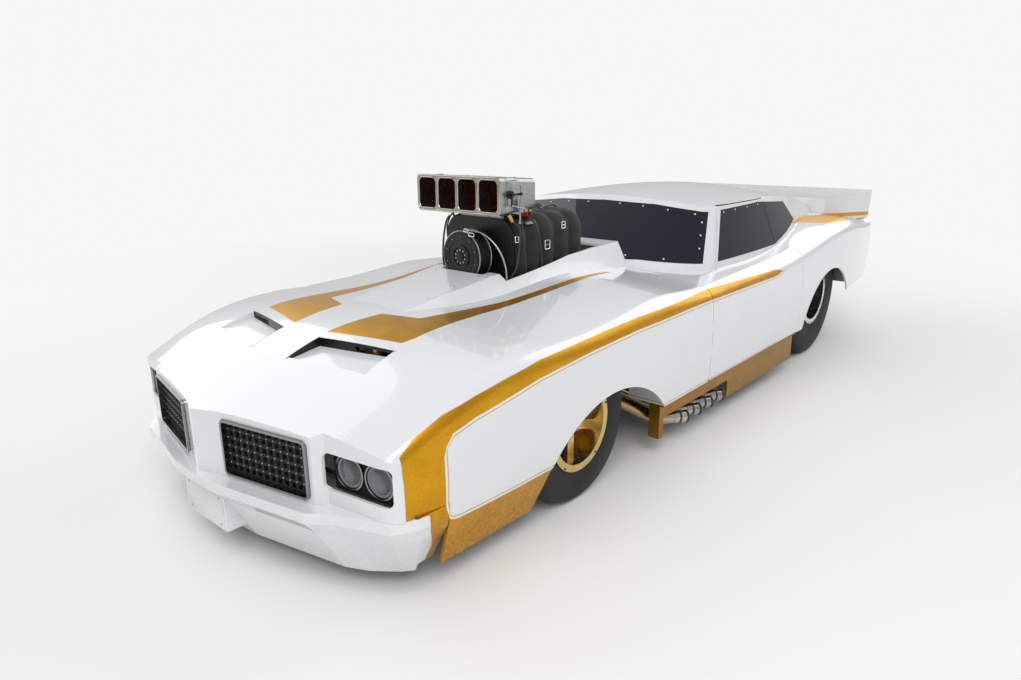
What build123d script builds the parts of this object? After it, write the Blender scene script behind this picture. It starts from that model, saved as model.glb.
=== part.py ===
from build123d import *
from math import cos, radians, sin, tan
import os

# A door-slammer drag racing car with a screw-blown engine standing through its bonnet.
# Millimetres. X runs across the car with its left side at +X, -Y is the front, +Z is up.
# The origin is on the ground, midway between the nose and the tail.
# Most places are given as a distance behind the front axle, which at() turns into Y.

# Driving dimensions of the whole car
LENGTH = 5430.0
FRONT_OVERHANG = 1330.0
WHEELBASE = 2920.0
SKIN = 12.0
DOOR_THICKNESS = 26.0
PANEL_GAP = 6.0
SEAT_GAP = 0.3
FRONT_AXLE = FRONT_OVERHANG - LENGTH / 2

# Heights of the body's edges
SILL_TOP = 285.0
FENDER_LOW = 100.0
BUMPER_TOP = 365.0
DAM_LOW = 80.0
DOOR_FRONT = 1090.0
DOOR_REAR = 2395.0
DOOR_TOP = 1172.0
DOOR_SHUT_ANGLE = 21.0
FLANK_HALF = 957.0
TAIL = LENGTH - FRONT_OVERHANG

# Wheels and tyres
FRONT_TYRE_R = 356.0
FRONT_TYRE_W = 150.0
FRONT_BEAD_R = 191.0
FRONT_FACE = 885.0
REAR_TYRE_R = 446.0
REAR_TYRE_W = 430.0
REAR_BEAD_R = 203.0
REAR_FACE = 876.0
CARCASS = 14.0
RIM_LIP = 14.0
RIM_WALL = 6.0
SPOKES = 5
KINGPIN_X = 655.0

# Frame tubes
TUBE_R = 20.0
CROSS_R = 16.0
RAIL_X = 360.0
RAIL_Z = 165.0
FLOOR_FRONT = 1030.0
FLOOR_REAR = 2350.0
FLOOR_HALF = 600.0
FLOOR_T = 6.0
TUNNEL_HALF = 140.0
TUNNEL_TOP = 470.0

# Engine, blower and injector hat
CRANK_Z = 330.0
HEAD_LOW = (210.0, 430.0)
HEAD_OUT = (345.0, 560.0)
ENGINE_FRONT = 290.0
ENGINE_REAR = 850.0
GEARBOX_REAR = 1600.0
PINION_FRONT = 2660.0
BLOWER_FRONT = 300.0
BLOWER_REAR = 860.0
BLOWER_LOW = 870.0
BLOWER_TOP = 1185.0
BLOWER_HALF = 235.0
SNOUT_Z = 1000.0
SNOUT_R = 125.0
HAT_FRONT = 143.0
HAT_REAR = 470.0
HAT_LOW = 1220.0
HAT_TOP = 1404.0
HAT_HALF = 288.0
FIREWALL_AT = 985.0
FIREWALL_T = 6.0


def at(distance):
    """Y of a point that is this far behind the front axle."""
    return FRONT_AXLE + distance


def box(x, along, z, mode=Mode.ADD):
    """A box between two values of X, of distance behind the front axle, and of height."""
    with Locations(((x[0] + x[1]) / 2, at((along[0] + along[1]) / 2), (z[0] + z[1]) / 2)):
        Box(x[1] - x[0], along[1] - along[0], z[1] - z[0], mode=mode)


def tube(points, radius=TUBE_R):
    """A run of straight round tubes through (x, distance, z) points, with round joints."""
    corners = [Vector(x, at(along), z) for x, along, z in points]
    for start, end in zip(corners, corners[1:]):
        run = end - start
        with BuildSketch(Plane(origin=start, z_dir=run)) as section:
            Circle(radius)
        extrude(section.sketch, amount=run.length)
    for corner in corners[1:-1]:
        with Locations(corner):
            Sphere(radius)


def both_sides(points):
    """The same run of points on the car's left side and on its right side."""
    return points, [(-x, along, z) for x, along, z in points]


# Cross sections of the lower body. Columns: distance behind the front axle, half width,
# height where the flank ends, half width and height of the shoulder, height of the crown,
# half width at the bottom edge.
BODY_SECTIONS = (
    (-1330.0, 890.0, 470.0, 830.0, 545.0, 610.0, 850.0),
    (-1090.0, 912.0, 530.0, 850.0, 605.0, 700.0, 860.0),
    (-800.0, 940.0, 650.0, 860.0, 735.0, 810.0, 865.0),
    (-400.0, 954.0, 715.0, 870.0, 795.0, 850.0, 870.0),
    (200.0, FLANK_HALF, 725.0, 872.0, 805.0, 868.0, 875.0),
    (1000.0, FLANK_HALF, 728.0, 872.0, 812.0, 880.0, 885.0),
    (1620.0, FLANK_HALF, 735.0, 868.0, 820.0, 885.0, 890.0),
    (2300.0, FLANK_HALF, 765.0, 862.0, 850.0, 905.0, 890.0),
    (2920.0, 965.0, 850.0, 868.0, 935.0, 975.0, 900.0),
    (3500.0, 953.0, 860.0, 862.0, 945.0, 1005.0, 900.0),
    (TAIL + 20.0, 890.0, 845.0, 800.0, 925.0, 985.0, 850.0),
)
FLANK_LOW = 290.0
FLANK_BULGE = 8.0
SHOULDER_ROUND = 27.0

# Outline of the nose seen from above. Columns: half width, distance behind the front axle.
NOSE_OUTLINE = ((0.0, -1300.0), (130.0, -1262.0), (585.0, -1172.0), (612.0, -1133.0), (850.0, -1098.0))
NOSE_CORNER = (925.0, -985.0)

# Side profile of the tail. Columns: distance behind the tail's rearmost point, height.
TAIL_PROFILE = ((-58.0, 955.0), (0.0, 700.0), (-150.0, 425.0))
QUARTER_LOW = 430.0

# The bonnet's raised wedge. Columns: distance, half width and height of its top, half
# width and height of its foot.
WEDGE_SECTIONS = (
    (-470.0, 185.0, 838.0, 300.0, 800.0),
    (155.0, 215.0, 925.0, 365.0, 830.0),
    (1155.0, 350.0, 1006.0, 430.0, 840.0),
)


def lower_body(inset):
    """The closed lower body, from nose to tail, taken inwards by a skin thickness."""
    with BuildPart() as block:
        for along, half, flank_top, shoulder, shoulder_z, crown, low_half in BODY_SECTIONS:
            bottom = FENDER_LOW - 40.0 - inset
            w = half - inset
            low = low_half - inset
            flank = w - FLANK_BULGE
            shoulder_x = shoulder - inset
            shoulder_y = shoulder_z - inset
            middle = (
                (flank + shoulder_x + SHOULDER_ROUND) / 2, (flank_top + shoulder_y + SHOULDER_ROUND) / 2,
            )
            with BuildSketch(Plane.XZ.offset(-at(along))):
                with BuildLine():
                    Line((-low, bottom), (low, bottom))
                    for side in (1, -1):
                        Line((side * low, bottom), (side * flank, FLANK_LOW))
                        ThreePointArc(
                            (side * flank, FLANK_LOW),
                            (side * w, (FLANK_LOW + flank_top) / 2),
                            (side * flank, flank_top),
                        )
                        ThreePointArc(
                            (side * flank, flank_top),
                            (side * middle[0], middle[1]),
                            (side * shoulder_x, shoulder_y),
                        )
                    ThreePointArc((shoulder_x, shoulder_y), (0, crown - inset), (-shoulder_x, shoulder_y))
                make_face()
        loft()
        with BuildSketch(Plane.XY):
            with BuildLine():
                front = [(x, at(along) + inset) for x, along in NOSE_OUTLINE]
                corner = (NOSE_CORNER[0] - inset, at(NOSE_CORNER[1]))
                back = at(TAIL) - inset
                for side in (1, -1):
                    Polyline([(side * x, y) for x, y in front])
                    middle = (side * (front[-1][0] + 54.0), front[-1][1] + 30.0)
                    ThreePointArc((side * front[-1][0], front[-1][1]), middle, (side * corner[0], corner[1]))
                    Polyline(
                        (side * corner[0], corner[1]), (side * 1000.0, corner[1] + 150.0),
                        (side * 1000.0, back),
                    )
                Line((-1000.0, back), (1000.0, back))
            make_face()
        extrude(amount=1600.0, mode=Mode.INTERSECT)
        with BuildSketch(Plane.YZ.offset(-1100.0)):
            with BuildLine():
                top, middle, low = [(at(TAIL + shift) - inset, z) for shift, z in TAIL_PROFILE]
                ThreePointArc(top, middle, low)
                Polyline(
                    top, (top[0], 1300.0), (at(-1600.0), 1300.0), (at(-1600.0), 0.0),
                    (low[0] - 60.0, 0.0), low,
                )
            make_face()
        extrude(amount=2200.0, mode=Mode.INTERSECT)
    return block.part


def wedge(inset):
    """The raised middle of the bonnet, which climbs rearwards to the windscreen."""
    with BuildPart() as block:
        for along, top_half, top, foot_half, foot in WEDGE_SECTIONS:
            with BuildSketch(Plane.XZ.offset(-at(along))):
                low = foot - 90.0
                x_top, x_foot, z_top = top_half - inset, foot_half - inset, top - inset
                Polygon(
                    (-x_foot, low), (x_foot, low), (x_foot, foot), (x_top, z_top), (-x_top, z_top),
                    (-x_foot, foot),
                    align=None,
                )
        loft(ruled=True)
    return block.part


# Outline of the glasshouse seen from above, at two heights. Rows: middle of the windscreen,
# its corner, front of the side glass, middle of the side, rear of the side, rear corner,
# middle of the rear. Columns: half width and distance, at the waist and then at the roof.
WAIST_Z = 850.0
ROOF_Z = 1167.0
GLASSHOUSE = (
    (0.0, 1010.0, 0.0, 1430.0),
    (700.0, 1340.0, 632.0, 1540.0),
    (758.0, 1440.0, 672.0, 1610.0),
    (786.0, 2100.0, 684.0, 2100.0),
    (752.0, 2850.0, 628.0, 2800.0),
    (640.0, 3560.0, 520.0, 3420.0),
    (0.0, 3700.0, 0.0, 3560.0),
)

# Roof surface. Columns: distance behind the front axle, height of the crown, drop at ROOF_EDGE.
ROOF_EDGE = 650.0
ROOF_REACH = 900.0
ROOF_SECTIONS = (
    (900.0, 1130.0, 30.0),
    (1450.0, 1214.0, 46.0),
    (2000.0, 1250.0, 62.0),
    (2600.0, 1236.0, 70.0),
    (3100.0, 1165.0, 72.0),
    (3500.0, 1075.0, 68.0),
    (3850.0, 990.0, 60.0),
)


def under_roof(inset):
    """Everything below the crowned roof surface, or below the same surface taken down."""
    with BuildPart() as block:
        for along, crown, drop in ROOF_SECTIONS:
            top = crown - inset
            edge_z = top - drop * (ROOF_REACH / ROOF_EDGE) ** 2
            with BuildSketch(Plane.XZ.offset(-at(along))):
                with BuildLine():
                    Polyline(
                        (-ROOF_REACH, edge_z), (-ROOF_REACH, 700.0), (ROOF_REACH, 700.0),
                        (ROOF_REACH, edge_z),
                    )
                    ThreePointArc((ROOF_REACH, edge_z), (0, top), (-ROOF_REACH, edge_z))
                make_face()
        loft()
    return block.part


def glasshouse(inset):
    """The closed solid of windscreen, roof and side windows, taken inwards by inset."""
    with BuildPart() as block:
        for z in (WAIST_Z - 90.0, ROOF_Z + 130.0):
            share = (z - WAIST_Z) / (ROOF_Z - WAIST_Z)
            outline = []
            for x0, along0, x1, along1 in GLASSHOUSE:
                outline.append((x0 + (x1 - x0) * share, at(along0 + (along1 - along0) * share)))
            nose, pillar, front, side, rear, corner, back = outline
            with BuildSketch(Plane.XY.offset(z)):
                with BuildLine():
                    y_nose, y_back = nose[1] + inset, back[1] - inset
                    ThreePointArc(
                        (-pillar[0] + inset, pillar[1] + inset), (0, y_nose),
                        (pillar[0] - inset, pillar[1] + inset),
                    )
                    for s in (1, -1):
                        Line((s * (pillar[0] - inset), pillar[1] + inset), (s * (front[0] - inset), front[1]))
                        ThreePointArc(
                            (s * (front[0] - inset), front[1]),
                            (s * (side[0] - inset), side[1]),
                            (s * (rear[0] - inset), rear[1]),
                        )
                        Line((s * (rear[0] - inset), rear[1]), (s * (corner[0] - inset), corner[1] - inset))
                    ThreePointArc(
                        (corner[0] - inset, corner[1] - inset), (0, y_back),
                        (-corner[0] + inset, corner[1] - inset),
                    )
                make_face()
        loft(ruled=True)
        add(under_roof(inset), mode=Mode.INTERSECT)
    return block.part


def side_prism(points, grow=0.0, x=(-1100.0, 1100.0)):
    """A prism across the car over a side-view outline of (distance, height) points."""
    with BuildPart() as prism:
        with BuildSketch(Plane.YZ.offset(x[0])):
            Polygon(*[(at(along), z) for along, z in points], align=None)
            if grow:
                offset(amount=grow, kind=Kind.INTERSECTION)
        extrude(amount=x[1] - x[0])
    return prism.part


def front_prism(points, along, grow=0.0):
    """A prism along the car over a front-view outline of (x, height) points."""
    with BuildPart() as prism:
        with BuildSketch(Plane.XZ.offset(-at(along[1]))):
            Polygon(*points, align=None)
            if grow:
                offset(amount=grow, kind=Kind.INTERSECTION)
        extrude(amount=along[1] - along[0])
    return prism.part


def wheel_arch(front, crown, rear, low_front):
    """The opening of a wheel arch: an arc through three points, open down to the road."""
    with BuildPart() as arch:
        with BuildSketch(Plane.YZ.offset(-1100.0)):
            with BuildLine():
                ThreePointArc(*[(at(along), z) for along, z in (front, crown, rear)])
                Polyline(
                    (at(rear[0]), rear[1]), (at(rear[0]), 0.0), (at(low_front), 0.0), (at(front[0]), front[1])
                )
            make_face()
        extrude(amount=2200.0)
    return arch.part


# Side outlines of the door, in two storeys, and of the side window. Distance and height.
DOOR_EDGE = DOOR_FRONT + PANEL_GAP / 2
DOOR_WAIST = 846.0
DOOR_LOWER = (
    (DOOR_EDGE, SILL_TOP + PANEL_GAP), (DOOR_EDGE, DOOR_WAIST), (2700.0, DOOR_WAIST),
    (2700.0, SILL_TOP + PANEL_GAP),
)
DOOR_UPPER = ((1462.0, 800.0), (1640.0, DOOR_TOP), (2700.0, DOOR_TOP), (2700.0, 800.0))
DOOR_INNER_X = 778.0
SIDE_WINDOW = (
    (1512.0, 868.0), (1668.0, 1150.0), (2200.0, 1158.0), (2700.0, 1122.0), (2840.0, 988.0), (2600.0, 926.0),
    (2330.0, 876.0),
)
WINDSCREEN = (
    (-722.0, 868.0), (-656.0, 1146.0), (-350.0, 1180.0), (0.0, 1190.0), (350.0, 1180.0), (656.0, 1146.0),
    (722.0, 868.0), (430.0, 892.0), (-430.0, 892.0),
)
REAR_WINDOW = ((-470.0, 3060.0), (-400.0, 3400.0), (400.0, 3400.0), (470.0, 3060.0))
GLASS_OUT = 1.0
GLASS_T = 5.0
FRAME_LAP = 24.0
GLASS_GAP = 1.5

FRONT_ARCH = ((-300.0, 275.0), (140.0, 494.0), (612.0, SILL_TOP), -385.0)
REAR_ARCH = ((2490.0, SILL_TOP), (2950.0, 640.0), (3400.0, QUARTER_LOW - 20.0), 2490.0)


def door_space(grow):
    """The space of the left door: below the waist it reaches in to the top of the wing."""
    with BuildPart() as space:
        add(side_prism(DOOR_LOWER, grow, (DOOR_INNER_X - grow, 1100.0)))
        add(side_prism(DOOR_UPPER, grow, (500.0, 1100.0)))
        slope = tan(radians(DOOR_SHUT_ANGLE))
        reach = FLANK_HALF - 400.0
        with BuildSketch(Plane.XY.offset(200.0)):
            rear = at(DOOR_REAR) + grow
            Polygon(
                (FLANK_HALF + 200.0, rear + 200.0 * slope), (FLANK_HALF - reach, rear - reach * slope),
                (FLANK_HALF - reach, rear + 600.0), (FLANK_HALF + 200.0, rear + 600.0),
                align=None,
            )
        extrude(amount=1100.0, mode=Mode.SUBTRACT)
    return space.part


block_out = lower_body(0.0)
block_mid = lower_body(SKIN / 2)
block_in = lower_body(SKIN)
cabin_out = glasshouse(0.0)
cabin_in = glasshouse(SKIN)
glass_seat = glasshouse(GLASS_OUT + GLASS_T + SEAT_GAP)
glass_outer = glasshouse(GLASS_OUT)
glass_inner = glasshouse(GLASS_OUT + GLASS_T)
door_hole = door_space(PANEL_GAP)
front_arch = wheel_arch(*FRONT_ARCH)
rear_arch = wheel_arch(*REAR_ARCH)

door_hole_right = mirror(door_hole, about=Plane.YZ)
WIDE = (-1100.0, 1100.0)
LONG = (-1500.0, TAIL + 200.0)


def glass_band(prism):
    """The part of the outer glass layer that lies inside a prism."""
    with BuildPart() as pane:
        add(glass_outer)
        add(prism, mode=Mode.INTERSECT)
        add(glass_inner, mode=Mode.SUBTRACT)
    return pane.part


def rebate_band(prism):
    """The layer that is cut from a frame so that its glass lies flush."""
    with BuildPart() as band:
        add(cabin_out)
        add(prism, mode=Mode.INTERSECT)
        add(glass_seat, mode=Mode.SUBTRACT)
    return band.part


screen_prism = front_prism(WINDSCREEN, (900.0, 1720.0))
screen_hole = front_prism(WINDSCREEN, (900.0, 1720.0), -FRAME_LAP)
side_window = side_prism(SIDE_WINDOW, 0.0, (400.0, 1100.0))
with BuildPart() as rear_window_prism:
    with BuildSketch(Plane.XY.offset(900.0)):
        Polygon(*[(x, at(along)) for x, along in REAR_WINDOW], align=None)
    extrude(amount=400.0)
with BuildPart() as rear_window_hole:
    with BuildSketch(Plane.XY.offset(900.0)):
        Polygon(*[(x, at(along)) for x, along in REAR_WINDOW], align=None)
        offset(amount=-FRAME_LAP, kind=Kind.INTERSECTION)
    extrude(amount=400.0)

side_rebate = rebate_band(side_window)
side_hole = side_prism(SIDE_WINDOW, -FRAME_LAP, (400.0, 1100.0))
side_pane = side_prism(SIDE_WINDOW, -GLASS_GAP, (400.0, 1100.0))
with BuildPart() as quarter_hole_part:
    add(side_hole)
    add(door_space(PANEL_GAP + FRAME_LAP), mode=Mode.SUBTRACT)
quarter_hole = quarter_hole_part.part

# Front clip: wings, nose and bonnet in one shell
GRILLE = ((138.0, 568.0), (378.0, 602.0))
LAMPS = ((604.0, 896.0), (420.0, 560.0))
OPENING_ROUND = 22.0
# Corners of an intake's floor, inner front first: x, distance behind the front axle, height
NOSTRIL = ((130.0, -950.0, 749.0), (528.0, -880.0, 750.0), (506.0, -720.0, 776.0), (132.0, -800.0, 773.0))
NOSTRIL_T = 6.0
SPLASH = (612.0, 740.0, 795.0)
BAY_NOTCH = (155.0, 150.0)
BAY_MOUTH = (205.0, 265.0)
BAY_REAR = (975.0, 300.0)
HATCH = (-250.0, 182.0)

# Twin intakes in the bonnet: each floor ramps down rearwards to a mouth under the skin's edge
ramp_front, _, ramp_outer, ramp_inner = [Vector(x, at(along), z) for x, along, z in NOSTRIL]
ramp_normal = (ramp_outer - ramp_front).cross(ramp_inner - ramp_front).normalized()


def intake_room(wall):
    """Space above each intake's floor, let out by a wall's thickness at its sides and below."""
    floor = Plane(origin=ramp_front - ramp_normal * wall, x_dir=ramp_outer - ramp_front, z_dir=ramp_normal)
    sides = (-wall, wall, wall, -wall)
    with BuildPart() as room:
        with BuildSketch(Plane.XY.offset(650.0)):
            Polygon(*[(x + side, at(along)) for (x, along, _), side in zip(NOSTRIL, sides)], align=None)
        extrude(amount=300.0)
        split(bisect_by=floor, keep=Keep.TOP)
        mirror(about=Plane.YZ)
    return room.part


with BuildPart() as intake_trays:
    add(intake_room(NOSTRIL_T))
    add(block_out, mode=Mode.INTERSECT)

# Walls behind the front wheels, from the wing inwards
with BuildPart() as splash_walls:
    box((SPLASH[1], 1000.0), (SPLASH[0], SPLASH[0] + SKIN), (SILL_TOP, SPLASH[2]))
    add(block_mid, mode=Mode.INTERSECT)
    mirror(about=Plane.YZ)

with BuildPart() as front_clip:
    add(block_out)
    add(wedge(0.0))
    add(block_in, mode=Mode.SUBTRACT)
    add(wedge(SKIN), mode=Mode.SUBTRACT)
    add(glasshouse(-PANEL_GAP / 2), mode=Mode.SUBTRACT)
    box(WIDE, (DOOR_FRONT - PANEL_GAP / 2, LONG[1]), (0.0, 1500.0), mode=Mode.SUBTRACT)
    box(WIDE, (LONG[0], -860.0), (0.0, BUMPER_TOP), mode=Mode.SUBTRACT)
    box(WIDE, LONG, (0.0, FENDER_LOW), mode=Mode.SUBTRACT)
    box(WIDE, (612.0, 1500.0), (0.0, SILL_TOP), mode=Mode.SUBTRACT)
    add(front_arch, mode=Mode.SUBTRACT)
    for s in (1, -1):
        with BuildSketch(Plane.XZ.offset(-at(-1000.0))):
            for (x0, x1), (z0, z1) in (GRILLE, LAMPS):
                with Locations((s * (x0 + x1) / 2, (z0 + z1) / 2)):
                    RectangleRounded(x1 - x0, z1 - z0, OPENING_ROUND)
        extrude(amount=500.0, mode=Mode.SUBTRACT)
    with BuildSketch(Plane.XY.offset(860.0)):
        for s in (1, -1):
            Polygon(
                (0.0, at(BAY_NOTCH[0])), (s * BAY_NOTCH[1], at(BAY_NOTCH[0])),
                (s * BAY_NOTCH[1], at(BAY_MOUTH[0])),
                (s * BAY_MOUTH[1], at(BAY_MOUTH[0])), (s * BAY_REAR[1], at(BAY_REAR[0])),
                (0.0, at(BAY_REAR[0])),
                align=None,
            )
    extrude(amount=300.0, both=True, mode=Mode.SUBTRACT)
    box((-HATCH[1], HATCH[1]), (HATCH[0], BAY_NOTCH[0] + 1.0), (700.0, 1100.0), mode=Mode.SUBTRACT)
    add(intake_trays.part)
    add(intake_room(0.0), mode=Mode.SUBTRACT)
    add(splash_walls.part)
front_clip.part.label = "front_clip"

# Bonnet hatch ahead of the engine, hinged at its front edge
HATCH_GAP = 4.0
with BuildPart() as bonnet_hatch:
    add(block_out)
    box(WIDE, (-600.0, 400.0), (0.0, 500.0))
    add(wedge(0.0))
    box(
        (HATCH_GAP - HATCH[1], HATCH[1] - HATCH_GAP), (HATCH[0] + SEAT_GAP, BAY_NOTCH[0]), (700.0, 1100.0),
        mode=Mode.INTERSECT,
    )
    add(block_in, mode=Mode.SUBTRACT)
    add(wedge(SKIN), mode=Mode.SUBTRACT)
bonnet_hatch.part.label = "bonnet_hatch"

# Tail lamps, set flush in pockets of the tail panel
TAIL_LAMP = (615.0, 745.0, 380.0, 84.0)
LAMP_DEPTH = 9.0


def tail_layer(depth, shrink):
    """The outer layer of the tail inside the outlines of both tail lamps."""
    with BuildPart() as layer:
        with BuildSketch(Plane.XZ.offset(-at(TAIL + 60.0))):
            with Locations((TAIL_LAMP[0], TAIL_LAMP[1]), (-TAIL_LAMP[0], TAIL_LAMP[1])):
                RectangleRounded(TAIL_LAMP[2] - 2 * shrink, TAIL_LAMP[3] - 2 * shrink, 18.0)
        extrude(amount=400.0)
        add(block_out, mode=Mode.INTERSECT)
        add(lower_body(depth), mode=Mode.SUBTRACT)
    return layer.part


with BuildPart() as tail_lamps:
    add(tail_layer(LAMP_DEPTH - SEAT_GAP, SEAT_GAP))
tail_lamps.part.label = "tail_lamps"

# Rear body: roof, pillars, quarters and tail in one shell
with BuildPart() as rear_body:
    add(block_out)
    box(WIDE, (LONG[0], DOOR_FRONT + PANEL_GAP / 2), (0.0, 1500.0), mode=Mode.SUBTRACT)
    add(cabin_out)
    add(block_in, mode=Mode.SUBTRACT)
    add(cabin_in, mode=Mode.SUBTRACT)
    box(WIDE, (LONG[0], 2600.0), (0.0, SILL_TOP), mode=Mode.SUBTRACT)
    box(WIDE, (REAR_ARCH[2][0] - 1.0, LONG[1]), (0.0, QUARTER_LOW), mode=Mode.SUBTRACT)
    add(rear_arch, mode=Mode.SUBTRACT)
    add(door_hole, mode=Mode.SUBTRACT)
    add(door_hole_right, mode=Mode.SUBTRACT)
    for prism, hole in ((screen_prism, screen_hole), (rear_window_prism.part, rear_window_hole.part)):
        add(rebate_band(prism), mode=Mode.SUBTRACT)
        add(hole, mode=Mode.SUBTRACT)
    for cutter in (side_rebate, quarter_hole):
        add(cutter, mode=Mode.SUBTRACT)
        add(mirror(cutter, about=Plane.YZ, mode=Mode.PRIVATE), mode=Mode.SUBTRACT)
    add(tail_layer(LAMP_DEPTH, 0.0), mode=Mode.SUBTRACT)
rear_body.part.label = "rear_body"


# Doors, each with its window frame and two hinge pins in the seam behind the wing
HINGE_X = FLANK_HALF - 3.5
HINGE_R = PANEL_GAP / 2 - SEAT_GAP
HINGE_HEIGHTS = ((430.0, 490.0), (560.0, 620.0))
with BuildPart() as door_window:
    add(side_hole)
    add(door_space(-FRAME_LAP), mode=Mode.INTERSECT)
with BuildPart() as door_left:
    add(block_out)
    add(cabin_out)
    add(door_space(0.0), mode=Mode.INTERSECT)
    add(lower_body(DOOR_THICKNESS), mode=Mode.SUBTRACT)
    add(glasshouse(DOOR_THICKNESS), mode=Mode.SUBTRACT)
    add(side_rebate, mode=Mode.SUBTRACT)
    add(door_window.part, mode=Mode.SUBTRACT)
    for low, high in HINGE_HEIGHTS:
        tube([(HINGE_X, DOOR_FRONT, low), (HINGE_X, DOOR_FRONT, high)], HINGE_R)
        box((HINGE_X - 2.0, HINGE_X + 2.0), (DOOR_FRONT, DOOR_EDGE + 1.0), (low, high))
door_left.part.label = "door_left"
door_right = mirror(door_left.part, about=Plane.YZ)
door_right.label = "door_right"

# Window panes, flush with the body
with BuildPart() as door_glass_left:
    add(glass_band(side_pane))
    add(door_space(-GLASS_GAP), mode=Mode.INTERSECT)
door_glass_left.part.label = "door_glass_left"
door_glass_right = mirror(door_glass_left.part, about=Plane.YZ)
door_glass_right.label = "door_glass_right"

with BuildPart() as quarter_glass:
    add(glass_band(side_pane))
    add(door_space(PANEL_GAP + GLASS_GAP), mode=Mode.SUBTRACT)
    mirror(about=Plane.YZ)
quarter_glass.part.label = "quarter_glass"

with BuildPart() as windscreen:
    add(glass_band(front_prism(WINDSCREEN, (900.0, 1720.0), -GLASS_GAP)))
windscreen.part.label = "windscreen"

with BuildPart() as rear_window_pane:
    with BuildSketch(Plane.XY.offset(900.0)):
        Polygon(*[(x, at(along)) for x, along in REAR_WINDOW], align=None)
        offset(amount=-GLASS_GAP, kind=Kind.INTERSECTION)
    extrude(amount=400.0)
with BuildPart() as rear_window:
    add(glass_band(rear_window_pane.part))
rear_window.part.label = "rear_window"

# Front bumper and air dam. Rows: height, then distances of the middle, the plate bulge's
# side, the grille's end, the step, the corner and the side, with the last two half widths.
BUMPER_X = (150.0, 600.0, 690.0)
BUMPER_LEVELS = (
    (BUMPER_TOP - SEAT_GAP, -1330.0, -1322.0, -1232.0, -1168.0, (886.0, -1090.0), (932.0, -1005.0)),
    (325.0, -1330.0, -1322.0, -1234.0, -1170.0, (890.0, -1092.0), (938.0, -1005.0)),
    (275.0, -1288.0, -1280.0, -1192.0, -1140.0, (876.0, -1066.0), (922.0, -990.0)),
    (DAM_LOW, -1180.0, -1172.0, -1082.0, -1040.0, (785.0, -965.0), (812.0, -930.0)),
)
BUMPER_REAR = -864.0
PLATE = (152.0, -1292.0, 145.0, 300.0)


def bumper_block(inset, low, high):
    """The bumper's outer or inner body between the first and last levels."""
    with BuildPart() as block:
        for z, d0, d1, d2, d3, corner, side in BUMPER_LEVELS:
            z_level = {BUMPER_LEVELS[0][0]: high, DAM_LOW: low}.get(z, z)
            half = [(BUMPER_X[0], d1), (BUMPER_X[1], d2), (BUMPER_X[2], d3), corner, side]
            half.append((side[0], BUMPER_REAR if inset == 0.0 else BUMPER_REAR + 60.0))
            left = [(x - inset, at(d) + inset * 1.3) for x, d in half]
            left[-1] = (left[-1][0], at(half[-1][1]))
            right = [(-x, y) for x, y in reversed(left)]
            with BuildSketch(Plane.XY.offset(z_level)):
                Polygon((0.0, at(d0) + inset * 1.3), *left, *right, align=None)
        loft(ruled=True)
    return block.part


with BuildPart() as front_bumper:
    add(bumper_block(0.0, DAM_LOW, BUMPER_TOP - SEAT_GAP))
    box((-PLATE[0], PLATE[0]), (PLATE[1], PLATE[1] + 120.0), PLATE[2:])
    add(bumper_block(SKIN, DAM_LOW - 30.0, BUMPER_TOP - SKIN), mode=Mode.SUBTRACT)
    box((-780.0, 780.0), (-1040.0, LONG[1]), (200.0, 500.0), mode=Mode.SUBTRACT)
front_bumper.part.label = "front_bumper"

# Grilles and lamps. Each side's planes follow the nose's slant, set back in their openings.
NOSE_SLANT = Vector(NOSE_OUTLINE[2][0] - NOSE_OUTLINE[1][0], NOSE_OUTLINE[2][1] - NOSE_OUTLINE[1][1])
LAMP_SLANT = Vector(NOSE_OUTLINE[4][0] - NOSE_OUTLINE[3][0], NOSE_OUTLINE[4][1] - NOSE_OUTLINE[3][1])
GRILLE_SET = 16.0
GRILLE_LEAN = 8.0
GRILLE_T = 6.0
GRILLE_HOLE = 20.0
GRILLE_PITCH = 34.0
TRIM_W = 9.0
TRIM_T = 26.0
LAMP_R = 60.0
LAMP_PITCH = 139.0
LAMP_SET = 44.0
LAMP_RING = 6.0
LAMP_DOME = 14.0
LAMP_PANEL = (10.0, 30.0, 8.0)
LENS_R = 185.0


def nose_plane(span, heights, slant, start, set_back):
    """A plane in the middle of a left nose opening, facing forward along the nose's slant."""
    x = (span[0] + span[1]) / 2
    along = start[1] + (x - start[0]) * slant.Y / slant.X + set_back
    return Plane(
        origin=(x, at(along), (heights[0] + heights[1]) / 2), x_dir=(slant.X, slant.Y, 0.0),
        z_dir=(slant.Y, -slant.X, 0.0),
    )


grille_plane = nose_plane(*GRILLE, NOSE_SLANT, NOSE_OUTLINE[1], GRILLE_SET)
lamp_plane = nose_plane(*LAMPS, LAMP_SLANT, NOSE_OUTLINE[3], LAMP_SET)
opening_sizes = {}
for name, (span, heights), slant in (("grille", GRILLE, NOSE_SLANT), ("lamps", LAMPS, LAMP_SLANT)):
    lean = slant.length / slant.X
    opening_sizes[name] = ((span[1] - span[0] - 2 * SEAT_GAP) * lean, heights[1] - heights[0] - 2 * SEAT_GAP)

with BuildPart() as nose_trim:
    width, height = opening_sizes["grille"]
    with BuildSketch(grille_plane):
        RectangleRounded(width - GRILLE_LEAN, height, OPENING_ROUND)
        RectangleRounded(
            width - GRILLE_LEAN - 2 * TRIM_W, height - 2 * TRIM_W, OPENING_ROUND - TRIM_W, mode=Mode.SUBTRACT,
        )
    extrude(amount=TRIM_T, both=True)
    with BuildSketch(lamp_plane):
        with Locations((-LAMP_PITCH / 2, 0.0), (LAMP_PITCH / 2, 0.0)):
            Circle(LAMP_R + LAMP_RING)
            Circle(LAMP_R, mode=Mode.SUBTRACT)
    extrude(amount=LAMP_DOME)
    mirror(about=Plane.YZ)
nose_trim.part.label = "nose_trim"

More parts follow.
